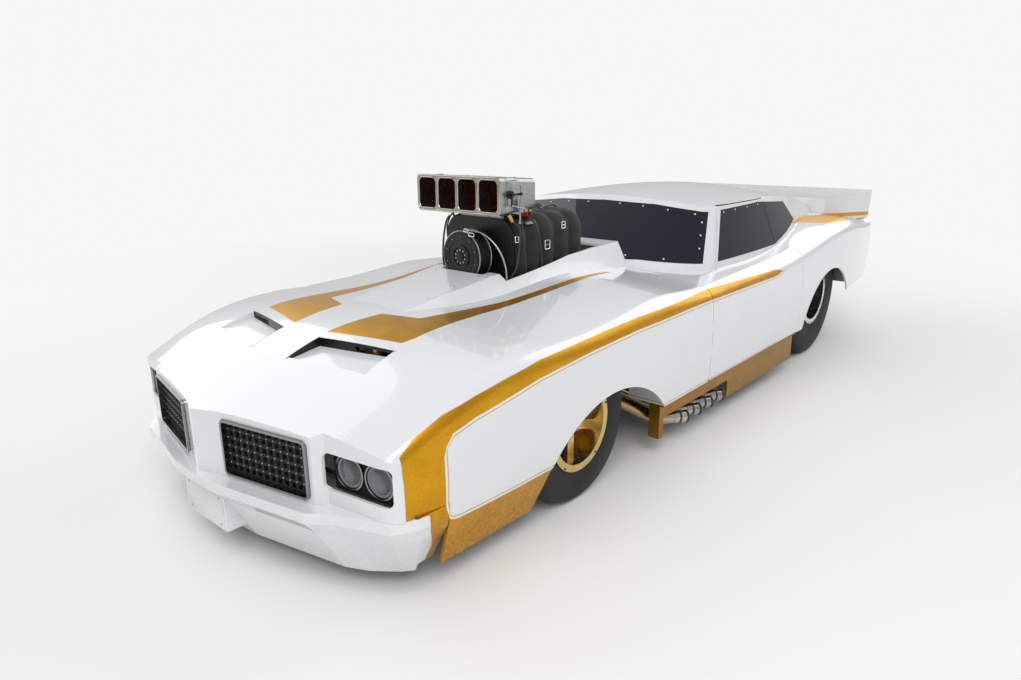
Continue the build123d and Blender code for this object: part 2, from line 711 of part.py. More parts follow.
with BuildPart() as grille_inserts:
    width, height = [size - 2 * (TRIM_W + SEAT_GAP) for size in opening_sizes["grille"]]
    with BuildSketch(grille_plane):
        RectangleRounded(width - GRILLE_LEAN, height, OPENING_ROUND - TRIM_W)
        with GridLocations(GRILLE_PITCH, GRILLE_PITCH, int(width / GRILLE_PITCH), int(height / GRILLE_PITCH)):
            Rectangle(GRILLE_HOLE, GRILLE_HOLE, mode=Mode.SUBTRACT)
    extrude(amount=-GRILLE_T)
    mirror(about=Plane.YZ)
grille_inserts.part.label = "grille_inserts"

with BuildPart() as lamp_panels:
    width, height = opening_sizes["lamps"]
    with BuildSketch(lamp_plane.offset(-SEAT_GAP)):
        Rectangle(width + LAMP_PANEL[0], height + LAMP_PANEL[1])
    extrude(amount=-LAMP_PANEL[2])
    add(lower_body(SKIN + SEAT_GAP), mode=Mode.INTERSECT)
    mirror(about=Plane.YZ)
lamp_panels.part.label = "lamp_panels"

with BuildPart() as lamp_domes:
    for shift in (-LAMP_PITCH / 2, LAMP_PITCH / 2):
        with Locations(lamp_plane.from_local_coords((shift, 0.0, LAMP_DOME - LENS_R))):
            Sphere(LENS_R)
with BuildPart() as lamp_lenses:
    with BuildSketch(lamp_plane):
        with Locations((-LAMP_PITCH / 2, 0.0), (LAMP_PITCH / 2, 0.0)):
            Circle(LAMP_R - SEAT_GAP)
    extrude(amount=LAMP_DOME)
    add(lamp_domes.part, mode=Mode.INTERSECT)
    mirror(about=Plane.YZ)
lamp_lenses.part.label = "lamp_lenses"

# Rear spoiler: one ramp with upright sides, carried on the rear deck
SPOILER_HALF = (700.0, 862.0)
SPOILER_FRONT = 3480.0
SPOILER_TOP = 1122.0
SPOILER_SKIN = 8.0


def spoiler_block(inset):
    """The ramp of the spoiler with its upright sides, taken inwards by a skin thickness."""
    rear, front = at(TAIL), at(SPOILER_FRONT)
    with BuildPart() as block:
        with BuildSketch(Plane.YZ.offset(-1000.0)):
            with BuildLine():
                Polyline((front, 1085.0), (front, 900.0), (rear - 20.0, 900.0), (rear, SPOILER_TOP))
                Line((rear, SPOILER_TOP), (rear - 14.0, SPOILER_TOP))
                ThreePointArc((rear - 14.0, SPOILER_TOP), (at(3800.0), 1094.0), (front, 1085.0))
            make_face()
            if inset:
                offset(amount=-inset, kind=Kind.INTERSECTION)
        extrude(amount=2000.0)
        with BuildSketch(Plane.XY.offset(800.0)):
            (x0, x1), y1 = SPOILER_HALF, rear + 1.0
            Polygon(
                (x0 - inset, front), (x1 - inset, y1), (inset - x1, y1), (inset - x0, front), align=None,
            )
        extrude(amount=500.0, mode=Mode.INTERSECT)
    return block.part


with BuildPart() as spoiler:
    add(spoiler_block(0.0))
    add(spoiler_block(SPOILER_SKIN), mode=Mode.SUBTRACT)
    add(lower_body(-SEAT_GAP), mode=Mode.SUBTRACT)
    add(glasshouse(-SEAT_GAP), mode=Mode.SUBTRACT)
spoiler.part.label = "spoiler"

# Wheels. Each rim and tyre is a ring about its axle, drawn as a half section.
RIM_DISH = {"front": 62.0, "rear": 290.0}
HUB_R = {"front": 58.0, "rear": 95.0}
AXLE_R = {"front": 22.0, "rear": 25.0}
WHEEL_SIZES = {
    "front": (0.0, FRONT_TYRE_R, FRONT_BEAD_R, FRONT_FACE, FRONT_TYRE_W),
    "rear": (WHEELBASE, REAR_TYRE_R, REAR_BEAD_R, REAR_FACE, REAR_TYRE_W),
}
DISC_T = 16.0
BRAKE_X = (706.0, 712.0)
BRAKE_R = 118.0
BEAD_IN = 18.0
FLANGE_IN = 5.5


def wheel_plane(which):
    """A plane through the left wheel's axle: its X runs outwards, its Y is the radius."""
    along, radius = WHEEL_SIZES[which][0], WHEEL_SIZES[which][1]
    return Plane(origin=(0.0, at(along), radius), x_dir=(1, 0, 0), z_dir=(0, -1, 0))


def wheel_axis(which):
    """The axle line of a wheel."""
    along, radius = WHEEL_SIZES[which][0], WHEEL_SIZES[which][1]
    return Axis((0.0, at(along), radius), (1, 0, 0))


def tyre(which):
    """A tyre: tread, rounded shoulders and bulged side walls, open towards its rim."""
    radius, bead, face, width = WHEEL_SIZES[which][1:]
    inner, crown = face - width, 0.012 * radius
    shoulder = 0.11 * radius
    side = (bead + radius) / 2
    with BuildPart() as ring:
        with BuildSketch(wheel_plane(which)):
            with BuildLine():
                ends = []
                for x_face, sign in ((inner, 1), (face, -1)):
                    foot = (x_face + sign * BEAD_IN, bead + SEAT_GAP)
                    bulge = (x_face, side)
                    corner = (x_face + sign * 8.0, radius - shoulder)
                    edge = (x_face + sign * (8.0 + shoulder * 0.8), radius - crown)
                    middle = (x_face + sign * (8.0 + shoulder * 0.22), radius - crown - shoulder * 0.3)
                    ThreePointArc(foot, bulge, corner)
                    ThreePointArc(corner, middle, edge)
                    ends.append((foot, edge))
                (foot_in, edge_in), (foot_out, edge_out) = ends
                ThreePointArc(edge_in, ((edge_in[0] + edge_out[0]) / 2, radius), edge_out)
                wall = CARCASS
                Polyline(
                    foot_in, (foot_in[0] + wall, foot_in[1]), (foot_in[0] + wall, radius - shoulder - wall),
                    (foot_in[0] + wall + shoulder * 0.7, radius - wall - crown),
                    (foot_out[0] - wall - shoulder * 0.7, radius - wall - crown),
                    (foot_out[0] - wall, radius - shoulder - wall), (foot_out[0] - wall, foot_out[1]),
                    foot_out,
                )
            make_face()
        revolve(axis=wheel_axis(which))
    return ring.part


def rim(which):
    """A rim: barrel with bead lips, a dished disc of spokes and a hub on its axle."""
    along, radius, bead, face, width = WHEEL_SIZES[which]
    inner = face - width
    lip = bead + RIM_LIP
    dish_x = face - RIM_DISH[which]
    hub = HUB_R[which]
    with BuildPart() as ring:
        with BuildSketch(wheel_plane(which)):
            x0, x1 = inner + FLANGE_IN, face - FLANGE_IN
            Polygon(
                (x0, lip), (x0, bead - 3.0 * RIM_WALL), (x1, bead - 3.0 * RIM_WALL), (x1, lip),
                (x1 - RIM_WALL, lip), (x1 - RIM_WALL, bead), (x1 - 30.0, bead),
                (x1 - 40.0, bead - 2 * RIM_WALL),
                (x0 + 40.0, bead - 2 * RIM_WALL), (x0 + 30.0, bead), (x0 + RIM_WALL, bead),
                (x0 + RIM_WALL, lip),
                align=None,
            )
        revolve(axis=wheel_axis(which))
        centre = Plane(origin=(dish_x, at(along), radius), x_dir=(0, 1, 0), z_dir=(-1, 0, 0))
        with BuildSketch(centre):
            Circle(hub)
            with PolarLocations(0.0, SPOKES, start_angle=90.0):
                with Locations((bead / 2, 0.0)):
                    Rectangle(bead - 8.0, 46.0)
        extrude(amount=DISC_T)
        with BuildSketch(centre.offset(-6.0)):
            Circle(hub - 12.0)
        extrude(amount=DISC_T + 26.0)
        if which == "front":
            with BuildSketch(centre.offset(dish_x - BRAKE_X[1])):
                Circle(BRAKE_R)
            extrude(amount=BRAKE_X[1] - BRAKE_X[0])
            with BuildSketch(centre):
                Circle(AXLE_R[which] + 18.0)
            extrude(amount=dish_x - BRAKE_X[0])
        with BuildSketch(centre.offset(-10.0)):
            Circle(AXLE_R[which] + SEAT_GAP)
        extrude(amount=dish_x - inner + 60.0, mode=Mode.SUBTRACT)
    return ring.part


wheel_parts = []
for which in ("front", "rear"):
    for name, shape in (("rim", rim(which)), ("tyre", tyre(which))):
        for side, placed in (("left", shape), ("right", mirror(shape, about=Plane.YZ))):
            placed.label = f"{which}_{name}_{side}"
            wheel_parts.append(placed)

# Front knuckles: strut, spindle and steering arm, which turn about the strut
KNUCKLE_LOW = 225.0
STRUT_TOP = 745.0
with BuildPart() as knuckle_left:
    tube([(KINGPIN_X, 0.0, KNUCKLE_LOW), (KINGPIN_X, 0.0, STRUT_TOP - SEAT_GAP)], 25.0)
    tube([(KINGPIN_X, 0.0, 470.0), (KINGPIN_X, 0.0, 700.0)], 42.0)
    box((KINGPIN_X - 26.0, KINGPIN_X + 40.0), (-34.0, 34.0), (FRONT_TYRE_R - 60.0, FRONT_TYRE_R + 60.0))
    tube(
        [(KINGPIN_X, 0.0, FRONT_TYRE_R), (FRONT_FACE - RIM_DISH["front"] + 4.0, 0.0, FRONT_TYRE_R)],
        AXLE_R["front"],
    )
    tube([(KINGPIN_X - 6.0, 0.0, 300.0), (KINGPIN_X - 30.0, 130.0, 300.0)], 11.0)
    pad, over = (-45.0, 45.0), FRONT_TYRE_R + BRAKE_R + 3.0
    box((BRAKE_X[0] - 16.0, BRAKE_X[0] - 1.0), pad, (FRONT_TYRE_R + 44.0, over + 22.0))
    box((BRAKE_X[0] - 16.0, BRAKE_X[1] + 12.0), pad, (over, over + 22.0))
    box((BRAKE_X[1] + 1.0, BRAKE_X[1] + 12.0), pad, (FRONT_TYRE_R + 80.0, over + 22.0))
knuckle_left.part.label = "knuckle_left"
knuckle_right = mirror(knuckle_left.part, about=Plane.YZ)
knuckle_right.label = "knuckle_right"

# Tube frame with its roll cage
UPPER_RAIL = (450.0, 620.0)
RAIL_FRONT = -760.0
RAIL_REAR = 3600.0
DASH_BAR = 1010.0
CAGE_FRONT = 1130.0
HOOP_AT = 2200.0
LINK_BAR = 2420.0
CHUTE_X = 165.0
CHUTE_REAR = 4040.0
CAGE_X = 655.0
TUB_INNER = 424.0
BRACE_X = TUB_INNER - TUBE_R - SEAT_GAP
with BuildPart() as chassis_frame:
    upper_x, upper_z = UPPER_RAIL
    hoop_top = (BRACE_X, HOOP_AT, 1165.0)
    for run in (
        [(RAIL_X, RAIL_FRONT, RAIL_Z), (RAIL_X, RAIL_REAR + TUBE_R, RAIL_Z)],
        [(RAIL_X, RAIL_FRONT, RAIL_Z), (upper_x, -240.0, upper_z), (upper_x, DASH_BAR, upper_z)],
        [(upper_x - 10.0, 0.0, upper_z), (620.0, 0.0, STRUT_TOP + 26.0)],
        [
            (CAGE_X, CAGE_FRONT, RAIL_Z), (CAGE_X, CAGE_FRONT, 700.0), (CAGE_X, 1315.0, 790.0),
            (575.0, 1620.0, 1105.0), (545.0, HOOP_AT, 1105.0),
        ],
        [(CAGE_X, HOOP_AT, RAIL_Z), (CAGE_X, HOOP_AT, 780.0), (545.0, HOOP_AT, 1105.0), hoop_top],
        [hoop_top, (BRACE_X, 3060.0, 620.0), (BRACE_X, RAIL_REAR, RAIL_Z)],
        [(CHUTE_X, RAIL_REAR, RAIL_Z), (CHUTE_X, CHUTE_REAR, RAIL_Z)],
    ):
        for points in both_sides(run):
            tube(points)
    for along, half, z in (
        (RAIL_FRONT, RAIL_X, RAIL_Z), (RAIL_REAR, BRACE_X, RAIL_Z), (LINK_BAR, RAIL_X, RAIL_Z),
        (DASH_BAR, upper_x, upper_z), (HOOP_AT, BRACE_X, 1165.0), (HOOP_AT, CAGE_X, 640.0),
        (CAGE_FRONT, CAGE_X, 700.0),
    ):
        tube([(-half, along, z), (half, along, z)], CROSS_R)
    for run in (
        [(RAIL_X, CAGE_FRONT, RAIL_Z), (CAGE_X, CAGE_FRONT, RAIL_Z)],
        [(RAIL_X, HOOP_AT, RAIL_Z), (CAGE_X, HOOP_AT, RAIL_Z)],
        [(upper_x, DASH_BAR, upper_z), (upper_x, CAGE_FRONT, 700.0)],
        [(CAGE_X, CAGE_FRONT, 420.0), (CAGE_X, HOOP_AT, 260.0)],
    ):
        for points in both_sides(run):
            tube(points, CROSS_R)
    for s in (1, -1):
        box(sorted((s * 600.0, s * 715.0)), (-60.0, 60.0), (STRUT_TOP, STRUT_TOP + 10.0))
chassis_frame.part.label = "chassis_frame"

# Two parachute packs on the tubes behind the frame
CHUTE_PACK = (190.0, 330.0, 175.0)
with BuildPart() as parachutes:
    low = RAIL_Z + TUBE_R + SEAT_GAP
    for s in (1, -1):
        x, rear = s * CHUTE_X, CHUTE_REAR - 10.0
        box(
            (x - CHUTE_PACK[0] / 2, x + CHUTE_PACK[0] / 2), (rear - CHUTE_PACK[1], rear),
            (low, low + CHUTE_PACK[2]),
        )
    fillet(parachutes.edges().filter_by(Axis.Y), 30.0)
parachutes.part.label = "parachutes"

# Lower front arms, from the rails out to the ball joints
ARM_R = 13.0
ARM_SEAT = ARM_R / 2 + SEAT_GAP
with BuildPart() as front_arms:
    for reach in (-150.0, 150.0):
        for points in both_sides([(RAIL_X + TUBE_R + ARM_SEAT, reach, RAIL_Z), (KINGPIN_X, 0.0, 205.0)]):
            tube(points, ARM_R)
    for s in (1, -1):
        with BuildSketch(Plane.XY.offset(188.0)):
            with Locations((s * KINGPIN_X, at(0.0))):
                Circle(24.0)
        extrude(amount=KNUCKLE_LOW - SEAT_GAP - 188.0)
front_arms.part.label = "front_arms"

# Rear axle with its links
HOUSING_R = 150.0
AXLE_TUBE_R = 42.0
AXLE_TUBE_END = 545.0
LINK_FRONT = LINK_BAR + CROSS_R + SEAT_GAP
with BuildPart() as rear_axle:
    with BuildSketch(Plane.YZ.offset(-90.0)):
        with Locations((at(WHEELBASE), REAR_TYRE_R)):
            Circle(HOUSING_R)
    extrude(amount=180.0)
    fillet(rear_axle.edges().filter_by(GeomType.CIRCLE), 40.0)
    tube([(-AXLE_TUBE_END, WHEELBASE, REAR_TYRE_R), (AXLE_TUBE_END, WHEELBASE, REAR_TYRE_R)], AXLE_TUBE_R)
    stub = REAR_FACE - RIM_DISH["rear"] + 4.0
    tube([(-stub, WHEELBASE, REAR_TYRE_R), (stub, WHEELBASE, REAR_TYRE_R)], AXLE_R["rear"])
    tube(
        [(0.0, WHEELBASE - HOUSING_R + 20.0, REAR_TYRE_R - 30.0), (0.0, PINION_FRONT, REAR_TYRE_R - 40.0)],
        60.0,
    )
    for points in both_sides([(300.0, LINK_FRONT + 20.0, RAIL_Z), (300.0, WHEELBASE - 10.0, 350.0)]):
        tube(points, 12.0)
    for s in (1, -1):
        lug = sorted((s * 285.0, s * 315.0))
        box(lug, (LINK_FRONT, LINK_FRONT + 36.0), (RAIL_Z - 14.0, RAIL_Z + 14.0))
        box(lug, (WHEELBASE - 60.0, WHEELBASE + 30.0), (330.0, 560.0))
rear_axle.part.label = "rear_axle"

# Floor with its tunnel, firewall and inner wheel tubs
with BuildPart() as floor_pan:
    low = RAIL_Z - TUBE_R - SEAT_GAP
    with BuildSketch(Plane.XZ.offset(-at(FLOOR_REAR))):
        Polygon(
            (-FLOOR_HALF, low - FLOOR_T), (-TUNNEL_HALF + FLOOR_T, low - FLOOR_T),
            (-TUNNEL_HALF + FLOOR_T, TUNNEL_TOP),
            (TUNNEL_HALF - FLOOR_T, TUNNEL_TOP), (TUNNEL_HALF - FLOOR_T, low - FLOOR_T),
            (FLOOR_HALF, low - FLOOR_T),
            (FLOOR_HALF, low), (TUNNEL_HALF, low), (TUNNEL_HALF, TUNNEL_TOP + FLOOR_T),
            (-TUNNEL_HALF, TUNNEL_TOP + FLOOR_T), (-TUNNEL_HALF, low), (-FLOOR_HALF, low),
            align=None,
        )
    extrude(amount=FLOOR_REAR - FLOOR_FRONT)
floor_pan.part.label = "floor_pan"

body_lining = lower_body(SKIN + SEAT_GAP)
with BuildPart() as firewall:
    box(WIDE, (FIREWALL_AT, FIREWALL_AT + FIREWALL_T), (120.0, 1000.0))
    add(body_lining, mode=Mode.INTERSECT)
    box((-160.0, 160.0), (FIREWALL_AT - 10.0, FIREWALL_AT + 20.0), (100.0, 500.0), mode=Mode.SUBTRACT)
    for s in (1, -1):
        box(
            sorted((s * 330.0, s * 1100.0)), (FIREWALL_AT - 10.0, FIREWALL_AT + 20.0), (100.0, 560.0),
            mode=Mode.SUBTRACT,
        )
    with BuildSketch(Plane.XZ.offset(-at(FIREWALL_AT + FIREWALL_T))):
        with Locations((UPPER_RAIL[0], UPPER_RAIL[1]), (-UPPER_RAIL[0], UPPER_RAIL[1])):
            Circle(TUBE_R + SEAT_GAP)
    extrude(amount=FIREWALL_T, mode=Mode.SUBTRACT)
firewall.part.label = "firewall"

TUB_R = 486.0
TUB_T = 4.0
with BuildPart() as wheel_tubs:
    with BuildSketch(Plane.YZ.offset(TUB_INNER)):
        with Locations((at(WHEELBASE), REAR_TYRE_R)):
            Circle(TUB_R)
    extrude(amount=FLANK_HALF + 60.0 - TUB_INNER)
    with BuildSketch(Plane.YZ.offset(TUB_INNER + TUB_T)):
        with Locations((at(WHEELBASE), REAR_TYRE_R)):
            Circle(TUB_R - TUB_T)
    extrude(amount=FLANK_HALF + 60.0 - TUB_INNER, mode=Mode.SUBTRACT)
    add(body_lining, mode=Mode.INTERSECT)
    box(WIDE, LONG, (0.0, 470.0), mode=Mode.SUBTRACT)
    box((400.0, 500.0), (WHEELBASE - 60.0, WHEELBASE + 60.0), (400.0, 520.0), mode=Mode.SUBTRACT)
    mirror(about=Plane.YZ)
wheel_tubs.part.label = "wheel_tubs"

# Rockers: gold skirts below the doors, cut away round the exhaust pipes
ROCKER_X = 922.0
ROCKER_LOW = 98.0
ROCKER_FRONT = 618.0
ROCKER_REAR = 2400.0
ROCKER_T = 10.0
ROCKER_FLANGE = 942.0
PIPE_BAY = (660.0, 1400.0, 205.0)
with BuildPart() as rockers:
    box((ROCKER_X - 60.0, ROCKER_X), (ROCKER_FRONT, ROCKER_REAR), (ROCKER_LOW, SILL_TOP - SEAT_GAP))
    box(
        (ROCKER_X - 70.0, ROCKER_X - ROCKER_T), (ROCKER_FRONT + ROCKER_T, ROCKER_REAR + 10.0),
        (ROCKER_LOW - 10.0, SILL_TOP - ROCKER_T), mode=Mode.SUBTRACT,
    )
    box((ROCKER_X - 90.0, ROCKER_X + 10.0), PIPE_BAY[:2], (0.0, PIPE_BAY[2]), mode=Mode.SUBTRACT)
    box(
        (ROCKER_X - 60.0, ROCKER_FLANGE), (ROCKER_FRONT, ROCKER_REAR),
        (SILL_TOP - ROCKER_T, SILL_TOP - SEAT_GAP),
    )
    mirror(about=Plane.YZ)
rockers.part.label = "rockers"

# Engine: block, heads, sump and gearbox in one casting outline
PLATE_T = 8.0
with BuildPart() as engine:
    box((-165.0, 165.0), (ENGINE_FRONT, ENGINE_REAR), (240.0, 560.0))
    box((-120.0, 120.0), (ENGINE_FRONT + 20.0, ENGINE_REAR - 20.0), (125.0, 242.0))
    for s in (1, -1):
        with BuildSketch(Plane.XZ.offset(-at(ENGINE_REAR - 20.0))):
            Polygon(
                (s * 60.0, 500.0), (s * HEAD_LOW[0], HEAD_LOW[1]), (s * HEAD_OUT[0], HEAD_OUT[1]),
                (s * 330.0, 690.0), (s * 190.0, 760.0),
                align=None,
            )
        extrude(amount=ENGINE_REAR - ENGINE_FRONT - 40.0)
    box((-150.0, 150.0), (ENGINE_FRONT + 40.0, ENGINE_REAR - 40.0), (540.0, BLOWER_LOW - SEAT_GAP))
    with BuildSketch(Plane.XZ.offset(-at(GEARBOX_REAR))):
        with Locations((0.0, CRANK_Z)):
            Circle(100.0)
    extrude(amount=GEARBOX_REAR - ENGINE_REAR + 5.0)
    with BuildSketch(Plane.XZ.offset(-at(ENGINE_REAR + 110.0))):
        with Locations((0.0, CRANK_Z)):
            Circle(125.0)
    extrude(amount=120.0)
    plate = RAIL_X - TUBE_R - SEAT_GAP
    for along in (ENGINE_FRONT - PLATE_T, ENGINE_REAR + SEAT_GAP):
        with BuildSketch(Plane.XZ.offset(-at(along + PLATE_T))):
            Polygon(
                (-plate, 140.0), (plate, 140.0), (plate, 260.0), (220.0, 540.0), (-220.0, 540.0),
                (-plate, 260.0),
                align=None,
            )
            if along < ENGINE_FRONT:
                with Locations((0.0, CRANK_Z)):
                    Circle(60.0, mode=Mode.SUBTRACT)
        extrude(amount=PLATE_T)
engine.part.label = "engine"

SHAFT_R = 38.0
SHAFT_FRONT = GEARBOX_REAR + SHAFT_R / 15 + SEAT_GAP
with BuildPart() as driveshaft:
    tube([(0.0, SHAFT_FRONT, CRANK_Z), (0.0, PINION_FRONT - SEAT_GAP, CRANK_Z + 70.0)], SHAFT_R)
driveshaft.part.label = "driveshaft"

# Screw blower with its front drive
with BuildPart() as blower:
    with BuildSketch(Plane.XZ.offset(-at(BLOWER_REAR))):
        with Locations((0.0, (BLOWER_LOW + BLOWER_TOP) / 2)):
            RectangleRounded(2 * BLOWER_HALF, BLOWER_TOP - BLOWER_LOW, 95.0)
    extrude(amount=BLOWER_REAR - BLOWER_FRONT)
    box((-150.0, 150.0), (BLOWER_FRONT + 20.0, BLOWER_REAR - 60.0), (BLOWER_LOW, BLOWER_LOW + 60.0))
    with BuildSketch(Plane.XZ.offset(-at(BLOWER_FRONT))):
        with Locations((0.0, SNOUT_Z)):
            Circle(60.0)
    extrude(amount=40.0)
blower.part.label = "blower"

BELT_FRONT = 180.0
BELT_REAR = 256.0
CRANK_PULLEY_R = 75.0
with BuildPart() as belt_drive:
    with BuildSketch(Plane.XZ.offset(-at(BLOWER_FRONT - 40.0 - SEAT_GAP))):
        with Locations((0.0, SNOUT_Z)):
            Circle(SNOUT_R)
    extrude(amount=BLOWER_FRONT - 40.0 - SEAT_GAP - BELT_FRONT + 20.0)
    with BuildSketch(Plane.XZ.offset(-at(BELT_REAR))):
        with Locations((0.0, CRANK_Z)):
            Circle(CRANK_PULLEY_R)
    extrude(amount=BELT_REAR - BELT_FRONT)
    with BuildSketch(Plane.XZ.offset(-at(ENGINE_FRONT - SEAT_GAP))):
        with Locations((0.0, CRANK_Z)):
            Circle(40.0)
    extrude(amount=ENGINE_FRONT - BELT_REAR)
    for s in (1, -1):
        with BuildSketch(Plane.XZ.offset(-at(BELT_REAR))):
            Polygon(
                (s * (CRANK_PULLEY_R - 10.0), CRANK_Z), (s * CRANK_PULLEY_R, CRANK_Z), (s * 90.0, SNOUT_Z),
                (s * 80.0, SNOUT_Z), align=None,
            )
        extrude(amount=BELT_REAR - BELT_FRONT)
belt_drive.part.label = "belt_drive"

# Injector hat with four mouths, and its throttle plates
MOUTH_GAP = 14.0
BUTTERFLY_TILT = 14.0
with BuildPart() as injector_hat:
    with BuildSketch(Plane.XZ.offset(-at(HAT_FRONT))):
        with Locations((0.0, (HAT_LOW + HAT_TOP) / 2)):
            RectangleRounded(2 * HAT_HALF, HAT_TOP - HAT_LOW, 24.0)
    with BuildSketch(Plane.XZ.offset(-at(HAT_REAR))):
        with Locations((0.0, (HAT_LOW + HAT_TOP) / 2 - 6.0)):
            RectangleRounded(2 * HAT_HALF - 110.0, HAT_TOP - HAT_LOW - 34.0, 24.0)
    loft()
    mouth = (2 * HAT_HALF - 5 * MOUTH_GAP) / 4
    with BuildSketch(Plane.XZ.offset(-at(HAT_FRONT - 1.0))):
        with GridLocations(mouth + MOUTH_GAP, 1.0, 4, 1):
            with Locations((0.0, (HAT_LOW + HAT_TOP) / 2)):
                RectangleRounded(mouth, HAT_TOP - HAT_LOW - 2 * MOUTH_GAP, 26.0)
    extrude(amount=-150.0, mode=Mode.SUBTRACT)
    box((-150.0, 150.0), (BLOWER_FRONT + 20.0, HAT_REAR - 10.0), (BLOWER_TOP + SEAT_GAP, HAT_LOW + 20.0))
injector_hat.part.label = "injector_hat"

with BuildPart() as hat_butterflies:
    mouth_high = HAT_TOP - HAT_LOW - 2 * MOUTH_GAP
    leaf = Plane.XZ.offset(-at(HAT_FRONT + 80.0)).rotated((BUTTERFLY_TILT, 0.0, 0.0))
    for k in range(4):
        x = (k - 1.5) * (mouth + MOUTH_GAP)
        shaft = (x, at(HAT_FRONT + 80.0), (HAT_LOW + HAT_TOP) / 2)
        with BuildSketch(Plane(origin=shaft, x_dir=(1, 0, 0), z_dir=leaf.z_dir)):
            RectangleRounded(mouth - 2.0, mouth_high - 2.0, 25.0)
        extrude(amount=1.5, both=True)
        with BuildSketch(Plane.YZ.offset(x - mouth / 2 + SEAT_GAP)):
            with Locations((shaft[1], shaft[2])):
                Circle(6.0)
        extrude(amount=mouth - 2 * SEAT_GAP)
hat_butterflies.part.label = "hat_butterflies"

# Exhaust pipes: four a side, square off the heads, down, and swept back behind the wheel
PIPE_R = 32.0
PIPE_BORE = 29.0
PORTS = 4
PORT_PITCH = 140.0
PORT_SHARE = 0.75
PIPE_ELBOW = (830.0, 740.0, 150.0)
PIPE_END = (925.0, 910.0, 135.0)
with BuildPart() as headers:
    face = Vector(HEAD_OUT) - Vector(HEAD_LOW)
    outward = Vector(face.Y, -face.X).normalized()
    seat_at = Vector(HEAD_LOW) + face * PORT_SHARE + outward * SEAT_GAP
    knee_at = seat_at + outward * 125.0
    for k in range(PORTS):
        port = at(ENGINE_FRONT + 70.0 + k * PORT_PITCH)
        step = k * PORT_PITCH
        for s in (1, -1):
            with BuildLine() as route:
                FilletPolyline(
                    (s * seat_at.X, port, seat_at.Y), (s * knee_at.X, port, knee_at.Y),
                    (s * PIPE_ELBOW[0], at(PIPE_ELBOW[1] + step), PIPE_ELBOW[2]),
                    (s * PIPE_END[0], at(PIPE_END[1] + step), PIPE_END[2]),
                    radius=70.0,
                )
            start = route.line ^ 0
            with BuildSketch(Plane(origin=start.position, z_dir=start.z_axis.direction)):
                Circle(PIPE_R)
            sweep(path=route.line)
            end = route.line ^ 1
            with BuildSketch(Plane(origin=end.position, z_dir=end.z_axis.direction)):
                Circle(PIPE_BORE)
            extrude(amount=-120.0, mode=Mode.SUBTRACT)
headers.part.label = "headers"

# Seat, dashboard and steering wheel
SEAT_X = 380.0
with BuildPart() as seat:
    box((SEAT_X - 210.0, SEAT_X + 210.0), (1640.0, 2120.0), (RAIL_Z + TUBE_R + SEAT_GAP, 300.0))
    box((SEAT_X - 180.0, SEAT_X + 180.0), (1600.0, 2000.0), (240.0, 400.0), mode=Mode.SUBTRACT)
    with BuildSketch(Plane.YZ.offset(SEAT_X - 210.0)):
        Polygon(
            (at(1990.0), 240.0), (at(2120.0), 240.0), (at(2150.0), 960.0), (at(2090.0), 960.0),
            (at(2030.0), 300.0),
            align=None,
        )
    extrude(amount=420.0)
seat.part.label = "seat"

DASH = (CAGE_FRONT + 30.0, 1300.0)
with BuildPart() as dashboard:
    half = CAGE_X - TUBE_R - SEAT_GAP
    box((-half, half), (DASH[0], DASH[1]), (600.0, 780.0))
    box((25.0 - half, half - 25.0), (DASH[0] - 10.0, DASH[1] - 50.0), (590.0, 765.0), mode=Mode.SUBTRACT)
dashboard.part.label = "dashboard"

COLUMN_R = 16.0
COLUMN_SEAT = COLUMN_R / 4 + SEAT_GAP
with BuildPart() as steering_wheel:
    with BuildSketch(Plane(origin=(SEAT_X, at(1540.0), 690.0), z_dir=(0.0, 1.0, 0.25))):
        Circle(150.0)
        Circle(128.0, mode=Mode.SUBTRACT)
        Rectangle(270.0, 24.0)
    extrude(amount=22.0)
    tube([(SEAT_X, DASH[1] + COLUMN_SEAT, 640.0), (SEAT_X, 1545.0, 691.0)], COLUMN_R)
steering_wheel.part.label = "steering_wheel"

os.makedirs("parts", exist_ok=True)
for block in (
    front_clip, bonnet_hatch, rear_body, door_left, door_glass_left, quarter_glass, windscreen, rear_window,
    front_bumper, nose_trim, grille_inserts, lamp_panels, lamp_lenses, tail_lamps, spoiler, knuckle_left,
    chassis_frame, parachutes, front_arms, rear_axle, floor_pan, firewall, wheel_tubs, rockers, engine,
    driveshaft,
    blower, belt_drive, injector_hat, hat_butterflies, headers, seat, dashboard, steering_wheel,
):
    export_step(block.part, f"parts/{block.part.label}.step")
for part in (door_right, door_glass_right, knuckle_right, *wheel_parts):
    export_step(part, f"parts/{part.label}.step")
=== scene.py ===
"""Dresses the drag racing car: paint, glass, rubber, metal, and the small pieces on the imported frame."""

import logging
import math
from dataclasses import dataclass
from enum import Enum
from functools import cache
from typing import ClassVar

import bmesh
import bpy
from mathutils import Matrix, Vector
from mathutils.bvhtree import BVHTree


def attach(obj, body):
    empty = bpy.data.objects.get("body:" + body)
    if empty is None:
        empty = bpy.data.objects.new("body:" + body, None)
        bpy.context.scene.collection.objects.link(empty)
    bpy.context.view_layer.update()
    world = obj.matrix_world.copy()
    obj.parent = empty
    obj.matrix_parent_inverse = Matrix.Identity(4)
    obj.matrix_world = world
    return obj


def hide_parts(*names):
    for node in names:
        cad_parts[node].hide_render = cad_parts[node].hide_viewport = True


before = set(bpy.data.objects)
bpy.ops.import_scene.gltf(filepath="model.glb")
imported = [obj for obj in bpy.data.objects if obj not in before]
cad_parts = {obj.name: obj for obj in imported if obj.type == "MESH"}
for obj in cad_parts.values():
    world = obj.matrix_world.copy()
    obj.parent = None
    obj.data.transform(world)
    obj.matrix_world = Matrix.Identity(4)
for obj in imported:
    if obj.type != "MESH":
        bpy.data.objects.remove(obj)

log = logging.getLogger("drag_car")

